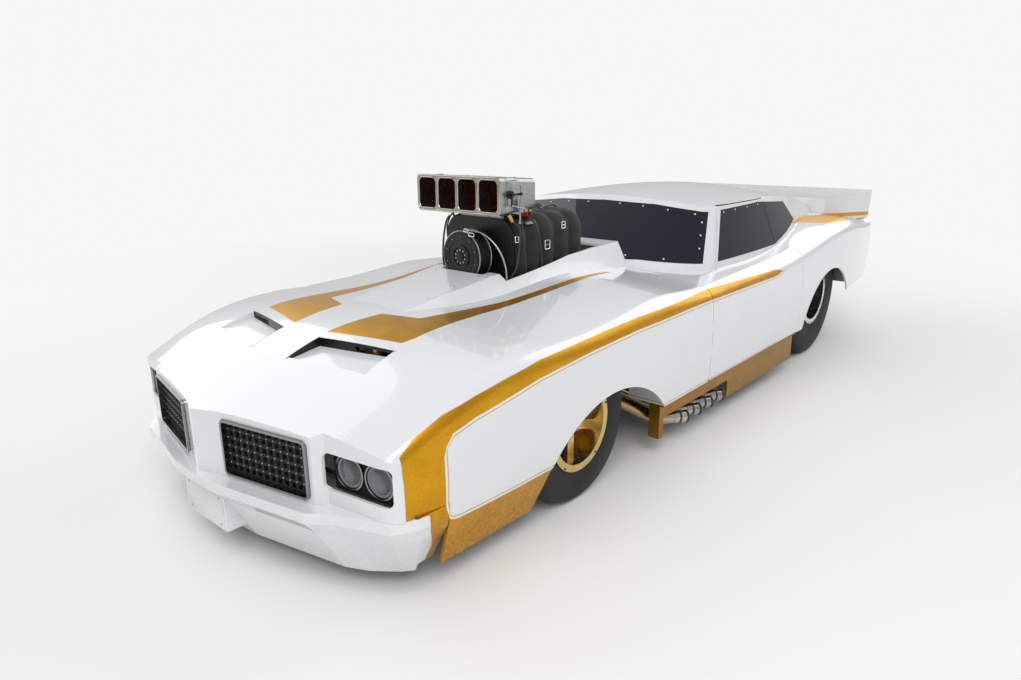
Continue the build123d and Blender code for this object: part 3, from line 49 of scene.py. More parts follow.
FRONT_AXLE = -1.385
REAR_AXLE = 1.535
GAP = 0.0002

Socket = bpy.types.NodeSocket


class Side(Enum):
    """The car's two sides, by the sign of X."""

    LEFT = 1
    RIGHT = -1

    @property
    def word(self) -> str:
        """The side's name as it stands in node names."""
        return self.name.lower()


class Axis(Enum):
    """An axis that a round piece is turned about."""

    X = (1.0, 0.0, 0.0)
    Y = (0.0, 1.0, 0.0)
    Z = (0.0, 0.0, 1.0)


FORWARD = Vector((0.0, -1.0, 0.0))
DOWN = (0.0, 0.0, -1.0)


# Shader graphs


def rgba(colour: tuple) -> tuple:
    """A colour with its alpha."""
    return (*colour, 1.0)


BLACKEST = rgba((0.0, 0.0, 0.0))


class Graph:
    """A node tree with short ways to add, set and join its nodes."""

    def __init__(self, tree: bpy.types.NodeTree) -> None:
        """Keep the tree that nodes are added to."""
        self.tree = tree

    def set(self, node: bpy.types.Node, inputs: dict) -> None:
        """Join a socket to each named input, or set its value."""
        for key, value in inputs.items():
            if isinstance(value, Socket):
                self.tree.links.new(value, node.inputs[key])
            else:
                node.inputs[key].default_value = value

    def add(self, kind: str, inputs: dict | None = None, **settings) -> bpy.types.Node:
        """Add one node.

        Args:
            kind: the node's type name.
            inputs: a socket to join, or a value to set, for each input.
            settings: the node's own settings.

        Returns:
            The new node.
        """
        node = self.tree.nodes.new(kind)
        for key, value in settings.items():
            setattr(node, key, value)
        self.set(node, inputs or {})
        return node

    def math(self, operation: str, first, second=0.0, third=0.0, clamp: bool = False) -> Socket:
        """Add a Math node and return its result."""
        inputs = {0: first, 1: second, 2: third}
        return self.add("ShaderNodeMath", inputs, operation=operation, use_clamp=clamp).outputs[0]

    def times(self, first, *others) -> Socket:
        """The product of several values."""
        for other in others:
            first = self.math("MULTIPLY", first, other)
        return first

    def plus(self, first, second) -> Socket:
        """The sum of two values."""
        return self.math("ADD", first, second)

    def minus(self, first, second, clamp: bool = False) -> Socket:
        """The first value less the second."""
        return self.math("SUBTRACT", first, second, clamp=clamp)

    def most(self, first, *others) -> Socket:
        """The greatest of several values."""
        for other in others:
            first = self.math("MAXIMUM", first, other)
        return first

    def mix(self, factor, first, second) -> Socket:
        """Mix two colours and return the result."""
        return self.add("ShaderNodeMix", {0: factor, 6: first, 7: second}, data_type="RGBA").outputs[2]

    def remap(self, value, source: tuple, target: tuple = (0.0, 1.0), smooth: bool = False) -> Socket:
        """Carry a value from one range to another, held at its ends, and return the result."""
        kind = "SMOOTHSTEP" if smooth else "LINEAR"
        inputs = {0: value, 1: source[0], 2: source[1], 3: target[0], 4: target[1]}
        return self.add("ShaderNodeMapRange", inputs, interpolation_type=kind, clamp=True).outputs[0]

    def noise(self, vector, scale: float, detail: float = 3.0, roughness: float = 0.5) -> Socket:
        """Add a noise texture and return its value."""
        inputs = {"Vector": vector, "Scale": scale, "Detail": detail, "Roughness": roughness}
        return self.add("ShaderNodeTexNoise", inputs).outputs[0]

    def stretch(self, vector, scale: tuple) -> Socket:
        """Stretch coordinates along the axes and return them."""
        return self.add("ShaderNodeMapping", {"Vector": vector, "Scale": scale}).outputs[0]

    def seen(self, *kinds: str) -> Socket:
        """1 where a ray of one of the kinds looks, such as Camera or Glossy."""
        path = self.add("ShaderNodeLightPath")
        return self.most(*(path.outputs[f"Is {kind} Ray"] for kind in kinds))


class Group(Graph):
    """A node group being built, with its inputs to take and its outputs to give."""

    def __init__(self, name: str, inputs: dict, outputs: tuple) -> None:
        """Make an empty group with named sockets.

        Args:
            name: the group's name.
            inputs: default for each input: a number, a colour, or None for coordinates.
            outputs: names of the outputs.
        """
        super().__init__(bpy.data.node_groups.new(name, "ShaderNodeTree"))
        sockets = self.tree.interface
        for key, value in inputs.items():
            kind = "Vector" if value is None else "Color" if isinstance(value, tuple) else "Float"
            socket = sockets.new_socket(key, in_out="INPUT", socket_type=f"NodeSocket{kind}")
            if value is not None:
                socket.default_value = value
        for key in outputs:
            kind = "Color" if key == "Colour" else "Float"
            sockets.new_socket(key, in_out="OUTPUT", socket_type=f"NodeSocket{kind}")
        self.take = self.add("NodeGroupInput").outputs
        self.end = self.add("NodeGroupOutput")


@cache
def grain_group() -> bpy.types.NodeTree:
    """Fine grain: shifts a colour's value and the roughness a little, and gives a height."""
    colour = rgba((0.8, 0.8, 0.8))
    inputs = {"Vector": None, "Colour": colour, "Scale": 40.0, "Tint": 0.1, "Roughness": 0.5, "Spread": 0.1}
    group = Group("surface grain", inputs, ("Colour", "Roughness", "Height"))
    take = group.take
    texture = {"Vector": take["Vector"], "Scale": take["Scale"], "Detail": 4.0}
    fine = group.add("ShaderNodeTexNoise", texture).outputs[0]
    broad = group.add("ShaderNodeTexNoise", {"Vector": take["Vector"], "Scale": 6.0}).outputs[0]
    swing = group.minus(group.math("MULTIPLY_ADD", fine, 0.5, group.times(broad, 0.5)), 0.5)
    value = group.math("MULTIPLY_ADD", swing, group.times(take["Tint"], 4.0), 1.0)
    tinted = group.add("ShaderNodeHueSaturation", {"Value": value, "Color": take["Colour"]}).outputs[0]
    spread = group.times(take["Spread"], 4.0)
    rough = group.math("MULTIPLY_ADD", swing, spread, take["Roughness"], clamp=True)
    group.set(group.end, {"Colour": tinted, "Roughness": rough, "Height": fine})
    return group.tree


@cache
def dust_group() -> bpy.types.NodeTree:
    """Road dust and painted shade: a mask that grows towards the ground, broken up by noise."""
    group = Group("road dust", {"Vector": None, "Top": 0.3, "Amount": 0.3}, ("Mask",))
    take = group.take
    height = group.add("ShaderNodeSeparateXYZ", {0: take["Vector"]}).outputs[2]
    low = group.minus(1.0, group.math("DIVIDE", height, take["Top"]), clamp=True)
    speckle = group.remap(group.noise(take["Vector"], 55.0, 5.0, 0.7), (0.35, 0.7))
    mask = group.math("MULTIPLY", group.times(low, speckle), take["Amount"], clamp=True)
    group.set(group.end, {"Mask": mask})
    return group.tree


@cache
def flake_group() -> bpy.types.NodeTree:
    """Metal flake in gold paint: cells of slightly different brightness over a broad cloud."""
    deep, bright = rgba((0.4, 0.2, 0.02)), rgba((0.8, 0.5, 0.08))
    inputs = {"Vector": None, "Deep": deep, "Bright": bright, "Scale": 900.0}
    group = Group("gold flake", inputs, ("Colour", "Height"))
    take = group.take
    cells = group.add("ShaderNodeTexVoronoi", {"Vector": take["Vector"], "Scale": take["Scale"]})
    spark = group.add("ShaderNodeSeparateColor", {0: cells.outputs["Color"]}).outputs[0]
    cloud = group.noise(take["Vector"], 9.0, 4.0, 0.6)
    share = group.math("MULTIPLY_ADD", spark, 0.45, group.times(cloud, 0.55), clamp=True)
    group.set(group.end, {"Colour": group.mix(share, take["Deep"], take["Bright"]), "Height": spark})
    return group.tree


class Shade(Graph):
    """One material, with its Principled shader ready to be fed."""

    def __init__(self, name: str, **constants) -> None:
        """Make the material.

        Args:
            name: the material's name.
            constants: values for the shader's own inputs, with _ for each space.
        """
        self.material = bpy.data.materials.new(name)
        self.material.use_nodes = True
        super().__init__(self.material.node_tree)
        self.tree.nodes.clear()
        self.shader = self.add("ShaderNodeBsdfPrincipled")
        self.add("ShaderNodeOutputMaterial", {"Surface": self.shader.outputs[0]})
        self.feed(**constants)
        self.place = self.add("ShaderNodeTexCoord").outputs["Object"]

    def feed(self, **sockets) -> None:
        """Join sockets to the shader's inputs, or set them, with _ for each space."""
        self.set(self.shader, {key.replace("_", " "): value for key, value in sockets.items()})

    def bump(self, height, strength: float, distance: float) -> None:
        """Raise the surface by a height in a Bump node."""
        inputs = {"Height": height, "Strength": strength, "Distance": distance}
        self.feed(Normal=self.add("ShaderNodeBump", inputs).outputs[0])

    def effect(self, group: bpy.types.NodeTree, **inputs) -> bpy.types.bpy_prop_collection:
        """Place a shared node group with this material's own values, and return its outputs."""
        return self.add("ShaderNodeGroup", {"Vector": self.place, **inputs}, node_tree=group).outputs

    def grain(
        self, colour: tuple, scale: float, tint: float, roughness: float, spread: float, **more
    ) -> bpy.types.bpy_prop_collection:
        """Feed the shader a colour and a roughness with fine grain in them, and return the outputs."""
        looks = {"Colour": rgba(colour), "Scale": scale, "Tint": tint}
        made = self.effect(grain_group(), Roughness=roughness, Spread=spread, **looks, **more)
        self.feed(Base_Color=made["Colour"], Roughness=made["Roughness"])
        return made

    def spot(self) -> tuple:
        """Distance out from the car's middle, distance behind the front axle, and height."""
        parts = self.add("ShaderNodeSeparateXYZ", {0: self.place}).outputs
        return self.math("ABSOLUTE", parts[0]), self.minus(parts[1], FRONT_AXLE), parts[2]


# Finishes


@dataclass(frozen=True)
class Gold:
    """Gold metallic paint, by its deep and bright tones."""

    deep: tuple = (0.42, 0.175, 0.003)
    bright: tuple = (0.92, 0.48, 0.012)
    scale: float = 620.0

    def flakes(self, shade: Shade) -> bpy.types.bpy_prop_collection:
        """The outputs of the flake group placed in a material."""
        return shade.effect(flake_group(), Deep=rgba(self.deep), Bright=rgba(self.bright), Scale=self.scale)


@dataclass(frozen=True)
class EdgeLine:
    """A painted line on the car: a value at each distance along, with the range of each."""

    points: tuple
    along: tuple
    across: tuple

    def place(self, graph: Graph, distance) -> Socket:
        """Put the line in a graph and return its value at a distance."""
        node = graph.add("ShaderNodeFloatCurve", {"Value": graph.remap(distance, self.along)})
        curve = node.mapping.curves[0]
        (start, end), (low, high) = self.along, self.across
        scaled = [((d - start) / (end - start), (v - low) / (high - low)) for d, v in self.points]
        for spot, place in ((curve.points[0], scaled[0]), (curve.points[-1], scaled[-1])):
            spot.location = place
            spot.handle_type = "VECTOR"
        for u, v in scaled[1:-1]:
            curve.points.new(u, v).handle_type = "VECTOR"
        node.mapping.update()
        return graph.remap(node.outputs[0], (0.0, 1.0), self.across)


@dataclass(frozen=True)
class BodyPaint:
    """Gloss white over the whole body, with gold stripes down the flanks and on the bonnet."""

    white: tuple = (0.80, 0.81, 0.83)
    gold: Gold = Gold()
    soft: float = 0.0012
    # Tones towards the ground: dust over the white, and dust with painted shade over the gold.
    dust_and_shade: tuple = ((0.30, 0.26, 0.21), (0.10, 0.06, 0.025))
    # Near-black painted shade for the mouths of the bonnet intakes.
    mouth: tuple = (0.006, 0.006, 0.006)
    flank_out: float = 0.72
    flank_end: float = 2.05
    panel_front: float = -0.876
    pin_gap: float = 0.010
    pin_width: float = 0.004
    patch_span: tuple = (-0.755, 0.84)
    patch_low: float = 0.70
    tail_span: tuple = (2.70, 4.085)
    tail_out: float = 0.62
    slot_across: tuple = (0.127, 0.512)
    slot_wall: tuple = (-0.003, 0.002)
    slot_side: tuple = (0.127, 0.1335)
    slot_span: tuple = (-0.96, -0.795)
    flank_front: EdgeLine = EdgeLine(
        (
            (0.05, -0.90), (0.20, -0.905), (0.24, -0.925), (0.29, -0.950), (0.33, -0.957), (0.359, -0.955),
            (0.3635, -0.985), (0.3645, -1.046), (0.80, -1.046),
        ),
        (0.05, 0.80), (-1.10, -0.85),
    )
    flank_top: EdgeLine = EdgeLine(
        (
            (-1.046, 0.594), (-1.037, 0.601), (-0.972, 0.642), (-0.858, 0.686), (-0.711, 0.718),
            (-0.571, 0.740), (-0.351, 0.764), (-0.009, 0.774), (0.379, 0.790), (0.861, 0.795), (1.10, 0.797),
            (1.95, 0.779), (2.05, 0.760),
        ),
        (-1.046, 2.05), (0.25, 0.85),
    )
    panel_top: EdgeLine = EdgeLine(
        (
            (-0.876, 0.545), (-0.867, 0.576), (-0.83, 0.618), (-0.728, 0.645), (-0.573, 0.669),
            (-0.378, 0.698), (-0.048, 0.722), (0.343, 0.740), (0.82, 0.746), (1.074, 0.746), (1.95, 0.740),
            (2.05, 0.757),
        ),
        (-0.876, 2.05), (0.25, 0.85),
    )
    panel_low: EdgeLine = EdgeLine(
        ((-0.876, 0.345), (-0.870, 0.315), (-0.849, 0.294), (-0.82, 0.287), (2.05, 0.287)),
        (-0.876, 2.05), (0.25, 0.85),
    )
    patch_inner: EdgeLine = EdgeLine(
        (
            (-0.755, 0.117), (-0.480, 0.142), (-0.418, 0.320), (-0.33, 0.333), (-0.149, 0.358),
            (0.019, 0.390), (0.406, 0.425), (0.80, 0.442), (0.85, 0.47),
        ),
        (-0.90, 0.90), (0.0, 0.6),
    )
    patch_outer: EdgeLine = EdgeLine(
        (
            (-0.755, 0.112), (-0.659, 0.480), (-0.60, 0.487), (-0.343, 0.460), (-0.174, 0.449),
            (0.161, 0.456), (0.290, 0.466), (0.516, 0.474), (0.80, 0.470), (0.85, 0.47),
        ),
        (-0.90, 0.90), (0.0, 0.6),
    )
    tail_top: EdgeLine = EdgeLine(
        ((2.70, 0.972), (3.20, 0.978), (3.60, 0.966), (4.10, 0.945)), (2.70, 4.10), (0.80, 1.10)
    )
    tail_low: EdgeLine = EdgeLine(
        ((2.70, 0.970), (3.00, 0.951), (3.60, 0.934), (4.10, 0.915)), (2.70, 4.10), (0.80, 1.10)
    )
    slot_rear: EdgeLine = EdgeLine(
        ((0.100, -0.8068), (0.132, -0.800), (0.506, -0.720), (0.540, -0.7127)), (0.10, 0.54), (-0.85, -0.65)
    )

    def over(self, graph: Graph, value, edge) -> Socket:
        """A mask of 1 where a value is past an edge."""
        return graph.remap(graph.minus(value, edge), (-self.soft, self.soft))

    def between(self, graph: Graph, value, low, high) -> Socket:
        """A mask of 1 where a value lies between two edges."""
        return graph.times(self.over(graph, value, low), self.over(graph, high, value))

    def panel(self, shade: Shade, distance, height, inset: float, front: float) -> Socket:
        """The white panel in the flank's gold, drawn in by an inset, from a distance on."""
        top, low = self.panel_top.place(shade, distance), self.panel_low.place(shade, distance)
        inside = self.between(shade, height, shade.plus(low, inset), shade.minus(top, inset))
        return shade.times(inside, self.over(shade, distance, self.panel_front + front))

    def mask(self, shade: Shade) -> Socket:
        """Where the gold lies."""
        across, distance, height = shade.spot()
        flank = shade.times(
            self.over(shade, distance, self.flank_front.place(shade, height)),
            self.over(shade, self.flank_top.place(shade, distance), height),
            self.over(shade, across, self.flank_out),
            self.over(shade, self.flank_end, distance),
        )
        gap = self.pin_gap
        inner = self.panel(shade, distance, height, gap, gap)
        core_gap = gap + self.pin_width
        core = self.panel(shade, distance, height, core_gap, core_gap)
        pin = shade.minus(inner, core, clamp=True)
        clear = shade.minus(1.0, self.panel(shade, distance, height, 0.0, 0.0))
        flank = shade.times(flank, shade.math("ADD", clear, pin, clamp=True))
        edges = (line.place(shade, distance) for line in (self.patch_inner, self.patch_outer))
        patch = shade.times(
            self.between(shade, across, *edges), self.between(shade, distance, *self.patch_span),
            self.over(shade, height, self.patch_low),
        )
        edges = (line.place(shade, distance) for line in (self.tail_low, self.tail_top))
        tail = shade.times(
            self.between(shade, height, *edges), self.between(shade, distance, *self.tail_span),
            self.over(shade, across, self.tail_out),
        )
        return shade.most(flank, patch, tail)

    def intake_shade(self, shade: Shade) -> Socket:
        """Painted shade in the mouth of each bonnet intake: black on its rear wall and its inner side."""
        across, distance, _ = shade.spot()
        rear = self.slot_rear.place(shade, across)
        ends = (shade.plus(rear, shift) for shift in self.slot_wall)
        wall = self.between(shade, distance, *ends)
        side = self.between(shade, across, *self.slot_side)
        return shade.most(
            shade.times(wall, self.between(shade, across, *self.slot_across)),
            shade.times(side, self.between(shade, distance, *self.slot_span)),
        )

    def build(self) -> bpy.types.Material:
        """The paint as a material."""
        shade = Shade("body paint", Coat_Roughness=0.03, Coat_IOR=1.5)
        mask, intake_shade = self.mask(shade), self.intake_shade(shade)
        grain = shade.grain(self.white, 3.0, 0.012, 0.22, 0.04)
        dust_and_shade = shade.effect(dust_group(), Top=0.45, Amount=0.26)["Mask"]
        colour = shade.mix(mask, grain["Colour"], self.gold.flakes(shade)["Colour"])
        # Over the gold the mask counts 3.2 times, which darkens the low flanks with painted shade.
        thick = shade.math("MULTIPLY", dust_and_shade, shade.remap(mask, (0.0, 1.0), (1.0, 3.2)), clamp=True)
        colour = shade.mix(thick, colour, shade.mix(mask, *(rgba(tone) for tone in self.dust_and_shade)))
        lacquer = shade.remap(mask, (0.0, 1.0), (1.0, 0.12))
        # The base colour takes the intakes' painted shade, and the coat is left off there.
        shade.feed(
            Base_Color=shade.mix(intake_shade, colour, rgba(self.mouth)), Metallic=shade.times(mask, 0.9),
            Roughness=shade.math("MULTIPLY_ADD", mask, 0.14, grain["Roughness"]),
            Coat_Weight=shade.times(lacquer, shade.minus(1.0, intake_shade)),
        )
        shade.bump(shade.noise(shade.place, 160.0, 1.0), 0.02, 0.002)
        return shade.material


@dataclass(frozen=True)
class GoldPaint:
    """Gold paint on the rockers, darkened towards the ground by dust and painted shade."""

    gold: Gold = Gold((0.20, 0.085, 0.004), (0.60, 0.30, 0.014))
    dust_and_shade: tuple = (0.13, 0.075, 0.03)

    def build(self) -> bpy.types.Material:
        """The paint as a material."""
        shade = Shade("rocker gold", Coat_Weight=0.12, Coat_Roughness=0.06, Roughness=0.38, Metallic=0.85)
        gold = self.gold.flakes(shade)
        # Dust with painted shade, strong near the ground.
        dust_and_shade = shade.effect(dust_group(), Top=0.42, Amount=0.9)["Mask"]
        shade.feed(Base_Color=shade.mix(dust_and_shade, gold["Colour"], rgba(self.dust_and_shade)))
        shade.bump(gold["Height"], 0.05, 0.001)
        return shade.material


@dataclass(frozen=True)
class Metal:
    """Bare, brushed, cast or anodised metal."""

    name: str
    colour: tuple
    roughness: float = 0.35
    brush: tuple = (1.0, 1.0, 1.0)
    scale: float = 60.0
    tint: float = 0.12
    bump: float = 0.1
    metallic: float = 1.0

    def build(self) -> bpy.types.Material:
        """The metal as a material."""
        shade = Shade(self.name, Metallic=self.metallic)
        way = shade.stretch(shade.place, self.brush)
        grain = shade.grain(self.colour, self.scale, self.tint, self.roughness, 0.12, Vector=way)
        shade.bump(grain["Height"], self.bump, 0.001)
        return shade.material


@dataclass(frozen=True)
class HeatedPipe:
    """Stainless pipe, straw and blue near its hot end and dull further out."""

    steel: tuple = (0.56, 0.53, 0.49)
    straw: tuple = (0.46, 0.33, 0.17)
    blue: tuple = (0.12, 0.13, 0.20)
    soot: tuple = (0.035, 0.03, 0.028)

    def build(self) -> bpy.types.Material:
        """The pipe's metal as a material."""
        shade = Shade("header pipe", Metallic=1.0)
        _, along, _ = shade.spot()
        blotch = shade.noise(shade.place, 14.0, 5.0, 0.65)
        reach = shade.math("MULTIPLY_ADD", blotch, 0.25, along)
        straw = shade.remap(reach, (0.75, 1.0), smooth=True)
        blue = shade.remap(reach, (0.98, 1.15), smooth=True)
        colour = shade.mix(straw, rgba(self.straw), rgba(self.steel))
        colour = shade.mix(shade.times(blue, 0.35), colour, rgba(self.blue))
        speck = shade.remap(shade.noise(shade.place, 90.0, 4.0, 0.7), (0.5, 0.8), (0.0, 0.3))
        inside = shade.add("ShaderNodeNewGeometry").outputs["Backfacing"]
        for share in (speck, inside):
            colour = shade.mix(share, colour, rgba(self.soot))
        shade.feed(Base_Color=colour, Roughness=shade.math("MULTIPLY_ADD", blotch, 0.22, 0.1))
        shade.bump(blotch, 0.06, 0.002)
        return shade.material


@dataclass(frozen=True)
class Rubber:
    """Tyre rubber with moulded rings on its side walls, grooved and greyed on the tread, with painted shade
    in the grooves.
    """

    name: str
    along: float
    radius: float
    tread_edge: float
    grooves: tuple = ()
    colour: tuple = (0.008, 0.008, 0.0095)
    worn: tuple = (0.022, 0.021, 0.020)
    roughness: float = 0.62
    groove_half: float = 0.0035
    # Near-black painted shade in the tread's grooves.
    groove_shade: tuple = (0.003, 0.003, 0.003)
    ring_pitch: float = 780.0

    def build(self) -> bpy.types.Material:
        """The rubber as a material."""
        shade = Shade(self.name)
        parts = shade.add("ShaderNodeSeparateXYZ", {0: shade.place}).outputs
        across = shade.math("ABSOLUTE", parts[0])
        ahead, above = shade.minus(parts[1], self.along), shade.minus(parts[2], self.radius)
        reach = shade.math("SQRT", shade.math("MULTIPLY_ADD", ahead, ahead, shade.times(above, above)))
        tread = shade.remap(reach, (self.tread_edge, self.tread_edge + 0.006))
        grain = shade.grain(self.colour, 120.0, 0.2, self.roughness, 0.15)
        scratches = shade.noise(shade.stretch(shade.place, (1.0, 6.0, 6.0)), 22.0, 5.0)
        scuff = shade.remap(scratches, (0.5, 0.72), (0.0, 0.7))
        scuff = shade.times(scuff, shade.remap(tread, (0.0, 1.0), (0.25, 1.0)))
        colour = shade.mix(scuff, grain["Colour"], rgba(self.worn))
        rings = shade.math("SINE", shade.times(reach, self.ring_pitch))
        wall = shade.times(shade.minus(1.0, tread), shade.remap(rings, (0.6, 1.0), (0.0, 0.35)))
        height = shade.math("MULTIPLY_ADD", grain["Height"], 0.25, wall)
        edge = (self.groove_half - 0.001, self.groove_half + 0.001)
        gaps = [shade.math("ABSOLUTE", shade.minus(across, place)) for place in self.grooves]
        if gaps:
            lines = (shade.remap(gap, edge, (1.0, 0.0)) for gap in gaps)
            cut = shade.times(shade.most(*lines), tread)
            # The grooves get painted shade in their colour, and the bump sinks them.
            colour = shade.mix(cut, colour, rgba(self.groove_shade))
            height = shade.minus(height, cut)
        shade.feed(Base_Color=colour)
        shade.bump(height, 0.5, 0.0015)
        return shade.material


@dataclass(frozen=True)
class Plastic:
    """Moulded or painted plastic with a fine tooth."""

    name: str
    colour: tuple
    roughness: float = 0.45
    bump: float = 0.15
    coat: float = 0.0

    def build(self) -> bpy.types.Material:
        """The plastic as a material."""
        shade = Shade(self.name, Coat_Weight=self.coat, Coat_Roughness=0.1)
        grain = shade.grain(self.colour, 180.0, 0.12, self.roughness, 0.08)
        shade.bump(grain["Height"], self.bump, 0.0008)
        return shade.material


@dataclass(frozen=True)
class Cloth:
    """Woven cloth or webbing: three sets of threads that raise the surface and shade it."""

    name: str
    colour: tuple
    threads: float = 420.0
    sheen: float = 0.3
    roughness: float = 0.8

    def build(self) -> bpy.types.Material:
        """The cloth as a material."""
        shade = Shade(self.name, Sheen_Weight=self.sheen, Sheen_Roughness=0.5)
        wave = {"Vector": shade.place, "Scale": self.threads, "Distortion": 0.6, "Detail": 1.0}
        weave = shade.most(
            *(shade.add("ShaderNodeTexWave", wave, bands_direction=way).outputs["Fac"] for way in "XYZ")
        )
        grain = shade.grain(self.colour, 70.0, 0.25, self.roughness, 0.08)
        shade.feed(Base_Color=shade.mix(shade.times(weave, 0.35), grain["Colour"], BLACKEST))
        shade.bump(weave, 0.3, 0.0008)
        return shade.material


@dataclass(frozen=True)
class Glass:
    """Tinted polycarbonate or a clear lens."""

    name: str
    colour: tuple
    transmission: float
    roughness: float = 0.03
    smear: float = 0.02

    def build(self) -> bpy.types.Material:
        """The glass as a material."""
        shade = Shade(self.name, Metallic=0.0, Transmission_Weight=self.transmission, IOR=1.45)
        shade.grain(self.colour, 9.0, 0.1, self.roughness, self.smear)
        return shade.material


@dataclass(frozen=True)
class Ground:
    """Plain pale floor, which fades into the backdrop away from the car and keeps its shadow."""

    pale: tuple = (0.90, 0.90, 0.90)
    dull: tuple = (0.82, 0.82, 0.82)
    backdrop: float = 0.93
    fade: tuple = (3.2, 8.5)

    def build(self) -> bpy.types.Material:
        """The floor as a material."""
        shade = Shade("studio floor", Roughness=0.9, Emission_Strength=1.0, Specular_IOR_Level=0.0)
        tone = shade.remap(shade.noise(shade.place, 0.6, 3.0), (0.3, 0.7), (0.96, 1.0))
        near = shade.mix(tone, rgba(self.dull), rgba(self.pale))
        reach = shade.add("ShaderNodeVectorMath", {0: shade.place}, operation="LENGTH").outputs["Value"]
        far = shade.remap(reach, self.fade, smooth=True)
        glow = shade.times(far, shade.seen("Camera", "Glossy", "Transmission"))
        shade.feed(
            Base_Color=shade.mix(far, near, BLACKEST),
            Emission_Color=shade.mix(glow, BLACKEST, rgba((self.backdrop,) * 3)),
        )
        return shade.material


class Finish(Enum):
    """Every finish on the car, by its use."""

    PAINT = BodyPaint()
    ROCKER = GoldPaint()
    TINT = Glass("tinted window", (0.009, 0.013, 0.026), 0.30)
    FRAME = Metal("frame tube paint", (0.10, 0.10, 0.11), 0.42, scale=90.0, metallic=0.3)
    STEEL = Metal("machined steel", (0.34, 0.34, 0.36), 0.3)
    SHEET = Metal("tin work", (0.50, 0.51, 0.53), 0.38, (1.0, 8.0, 1.0), 40.0)
    CAST = Metal("cast alloy", (0.42, 0.43, 0.45), 0.5, scale=160.0, bump=0.35)
    BRUSHED = Metal("brushed alloy", (0.40, 0.40, 0.40), 0.30, (1.0, 30.0, 30.0), 30.0, 0.04)
    POLISHED = Metal("polished rim", (0.70, 0.70, 0.72), 0.16, scale=30.0, tint=0.06, bump=0.03)
    RIM_GOLD = Metal("gold rim", (0.68, 0.50, 0.21), 0.25, scale=45.0, tint=0.1, bump=0.04)
    HAT_BEAD = Metal("champagne bead", (0.46, 0.42, 0.36), 0.22, scale=40.0, tint=0.06, bump=0.02)
    PEWTER = Metal("pewter trim", (0.30, 0.30, 0.31), 0.2, scale=40.0, tint=0.06, bump=0.02)
    BOWL = Metal("lamp bowl", (0.20, 0.20, 0.21), 0.3, scale=50.0, tint=0.1, bump=0.05)
    CHROME = Metal("chrome trim", (0.82, 0.83, 0.85), 0.07, scale=25.0, tint=0.03, bump=0.01)
    RED_METAL = Metal("red anodised plate", (0.28, 0.035, 0.02), 0.3, scale=60.0)
    # Throttle blades: red metal darkened far down as painted shade deep in the hat's mouths.
    SHADED_RED = Metal("dark red throttle blade", (0.034, 0.007, 0.005), 0.42, scale=60.0)
    PIPE = HeatedPipe()
    FRONT_RUBBER = Rubber("front tyre rubber", FRONT_AXLE, 0.356, 0.338, (0.786, 0.810, 0.834))
    REAR_RUBBER = Rubber(
        "rear slick rubber", REAR_AXLE, 0.446, 0.424, (), (0.010, 0.010, 0.011), (0.032, 0.030, 0.028), 0.7
    )
    DARK_STEEL = Metal("heat-darkened steel", (0.085, 0.075, 0.07), 0.45, scale=80.0, bump=0.25)
    BRAID = Metal("braided steel", (0.48, 0.48, 0.49), 0.32, (1.0, 1.0, 1.0), 260.0, 0.5, 0.8)
    SHELL = Plastic("seat shell", (0.030, 0.031, 0.034), 0.35, 0.1, 0.4)
    RED_LEAD = Plastic("red plug lead", (0.32, 0.02, 0.015), 0.45)
    BLACK = Plastic("black plastic", (0.007, 0.007, 0.0075), 0.4)
    MATT_BLACK = Plastic("matt black pocket", (0.008, 0.008, 0.008), 0.75)
    WHITE_CAP = Plastic("white fastener", (0.78, 0.78, 0.79), 0.3)
    HOSE = Cloth("braided hose", (0.045, 0.045, 0.05), 600.0, 0.1, 0.5)
    QUILT = Cloth("quilted blanket", (0.0115, 0.0088, 0.0075), 520.0, 0.12)
    WEBBING = Cloth("black webbing", (0.006, 0.006, 0.007), 800.0, 0.1, 0.7)
    SEAT = Cloth("seat cloth", (0.012, 0.012, 0.013), 700.0)
    PACK = Cloth("parachute pack cloth", (0.010, 0.010, 0.011), 650.0)
    LENS = Glass("clear lens", (0.66, 0.68, 0.70), 0.92, 0.02, 0.005)
    RED_LENS = Glass("red lens", (0.42, 0.012, 0.010), 0.25, 0.08, 0.02)


@cache
def material(look: Finish) -> bpy.types.Material:
    """A finish's material, built at its first use."""
    return look.value.build()


# Mesh pieces


def at(distance: float) -> float:
    """Y of a point that is this far behind the front axle."""
    return FRONT_AXLE + distance


def only_verts(geometry: list) -> list:
    """The vertices among some parts of a mesh."""
    return [part for part in geometry if isinstance(part, bmesh.types.BMVert)]


def smooth_path(points: list, steps: int, closed: bool = False) -> list:
    """A smooth line through points, by Catmull-Rom pieces of the given number of steps."""
    points = [Vector(point) for point in points]
    line = [points[-1], *points, *points[:2]] if closed else [points[0], *points, points[-1]]
    path = []
    for a, b, c, d in zip(line, line[1:], line[2:], line[3:]):
        for t in (k / steps for k in range(steps)):
            bend = (2 * a - 5 * b + 4 * c - d) * t**2 + (3 * b - a - 3 * c + d) * t**3
            path.append(0.5 * ((2 * b) + (c - a) * t + bend))
    return path if closed else [*path, points[-1]]


def path_frames(path: list, closed: bool, across: Vector | None = None) -> list:
    """A matrix at each point of a path, with Z along it and X turned as little as it can be.

    Args:
        path: the points.
        closed: whether the last point joins the first.
        across: a fixed way for X, where the path needs one.

    Returns:
        One matrix for each point.
    """
    frames = []
    side = across
    for number, spot in enumerate(path):
        if closed:
            before, after = path[number - 1], path[(number + 1) % len(path)]
        else:
            before, after = path[max(number - 1, 0)], path[min(number + 1, len(path) - 1)]
        ahead = (after - before).normalized()
        side = ahead.orthogonal() if side is None else side - ahead * side.dot(ahead)
        side.normalize()
        turn = Matrix((side, ahead.cross(side), ahead)).transposed().to_4x4()
        frames.append(Matrix.Translation(spot) @ turn)
    return frames


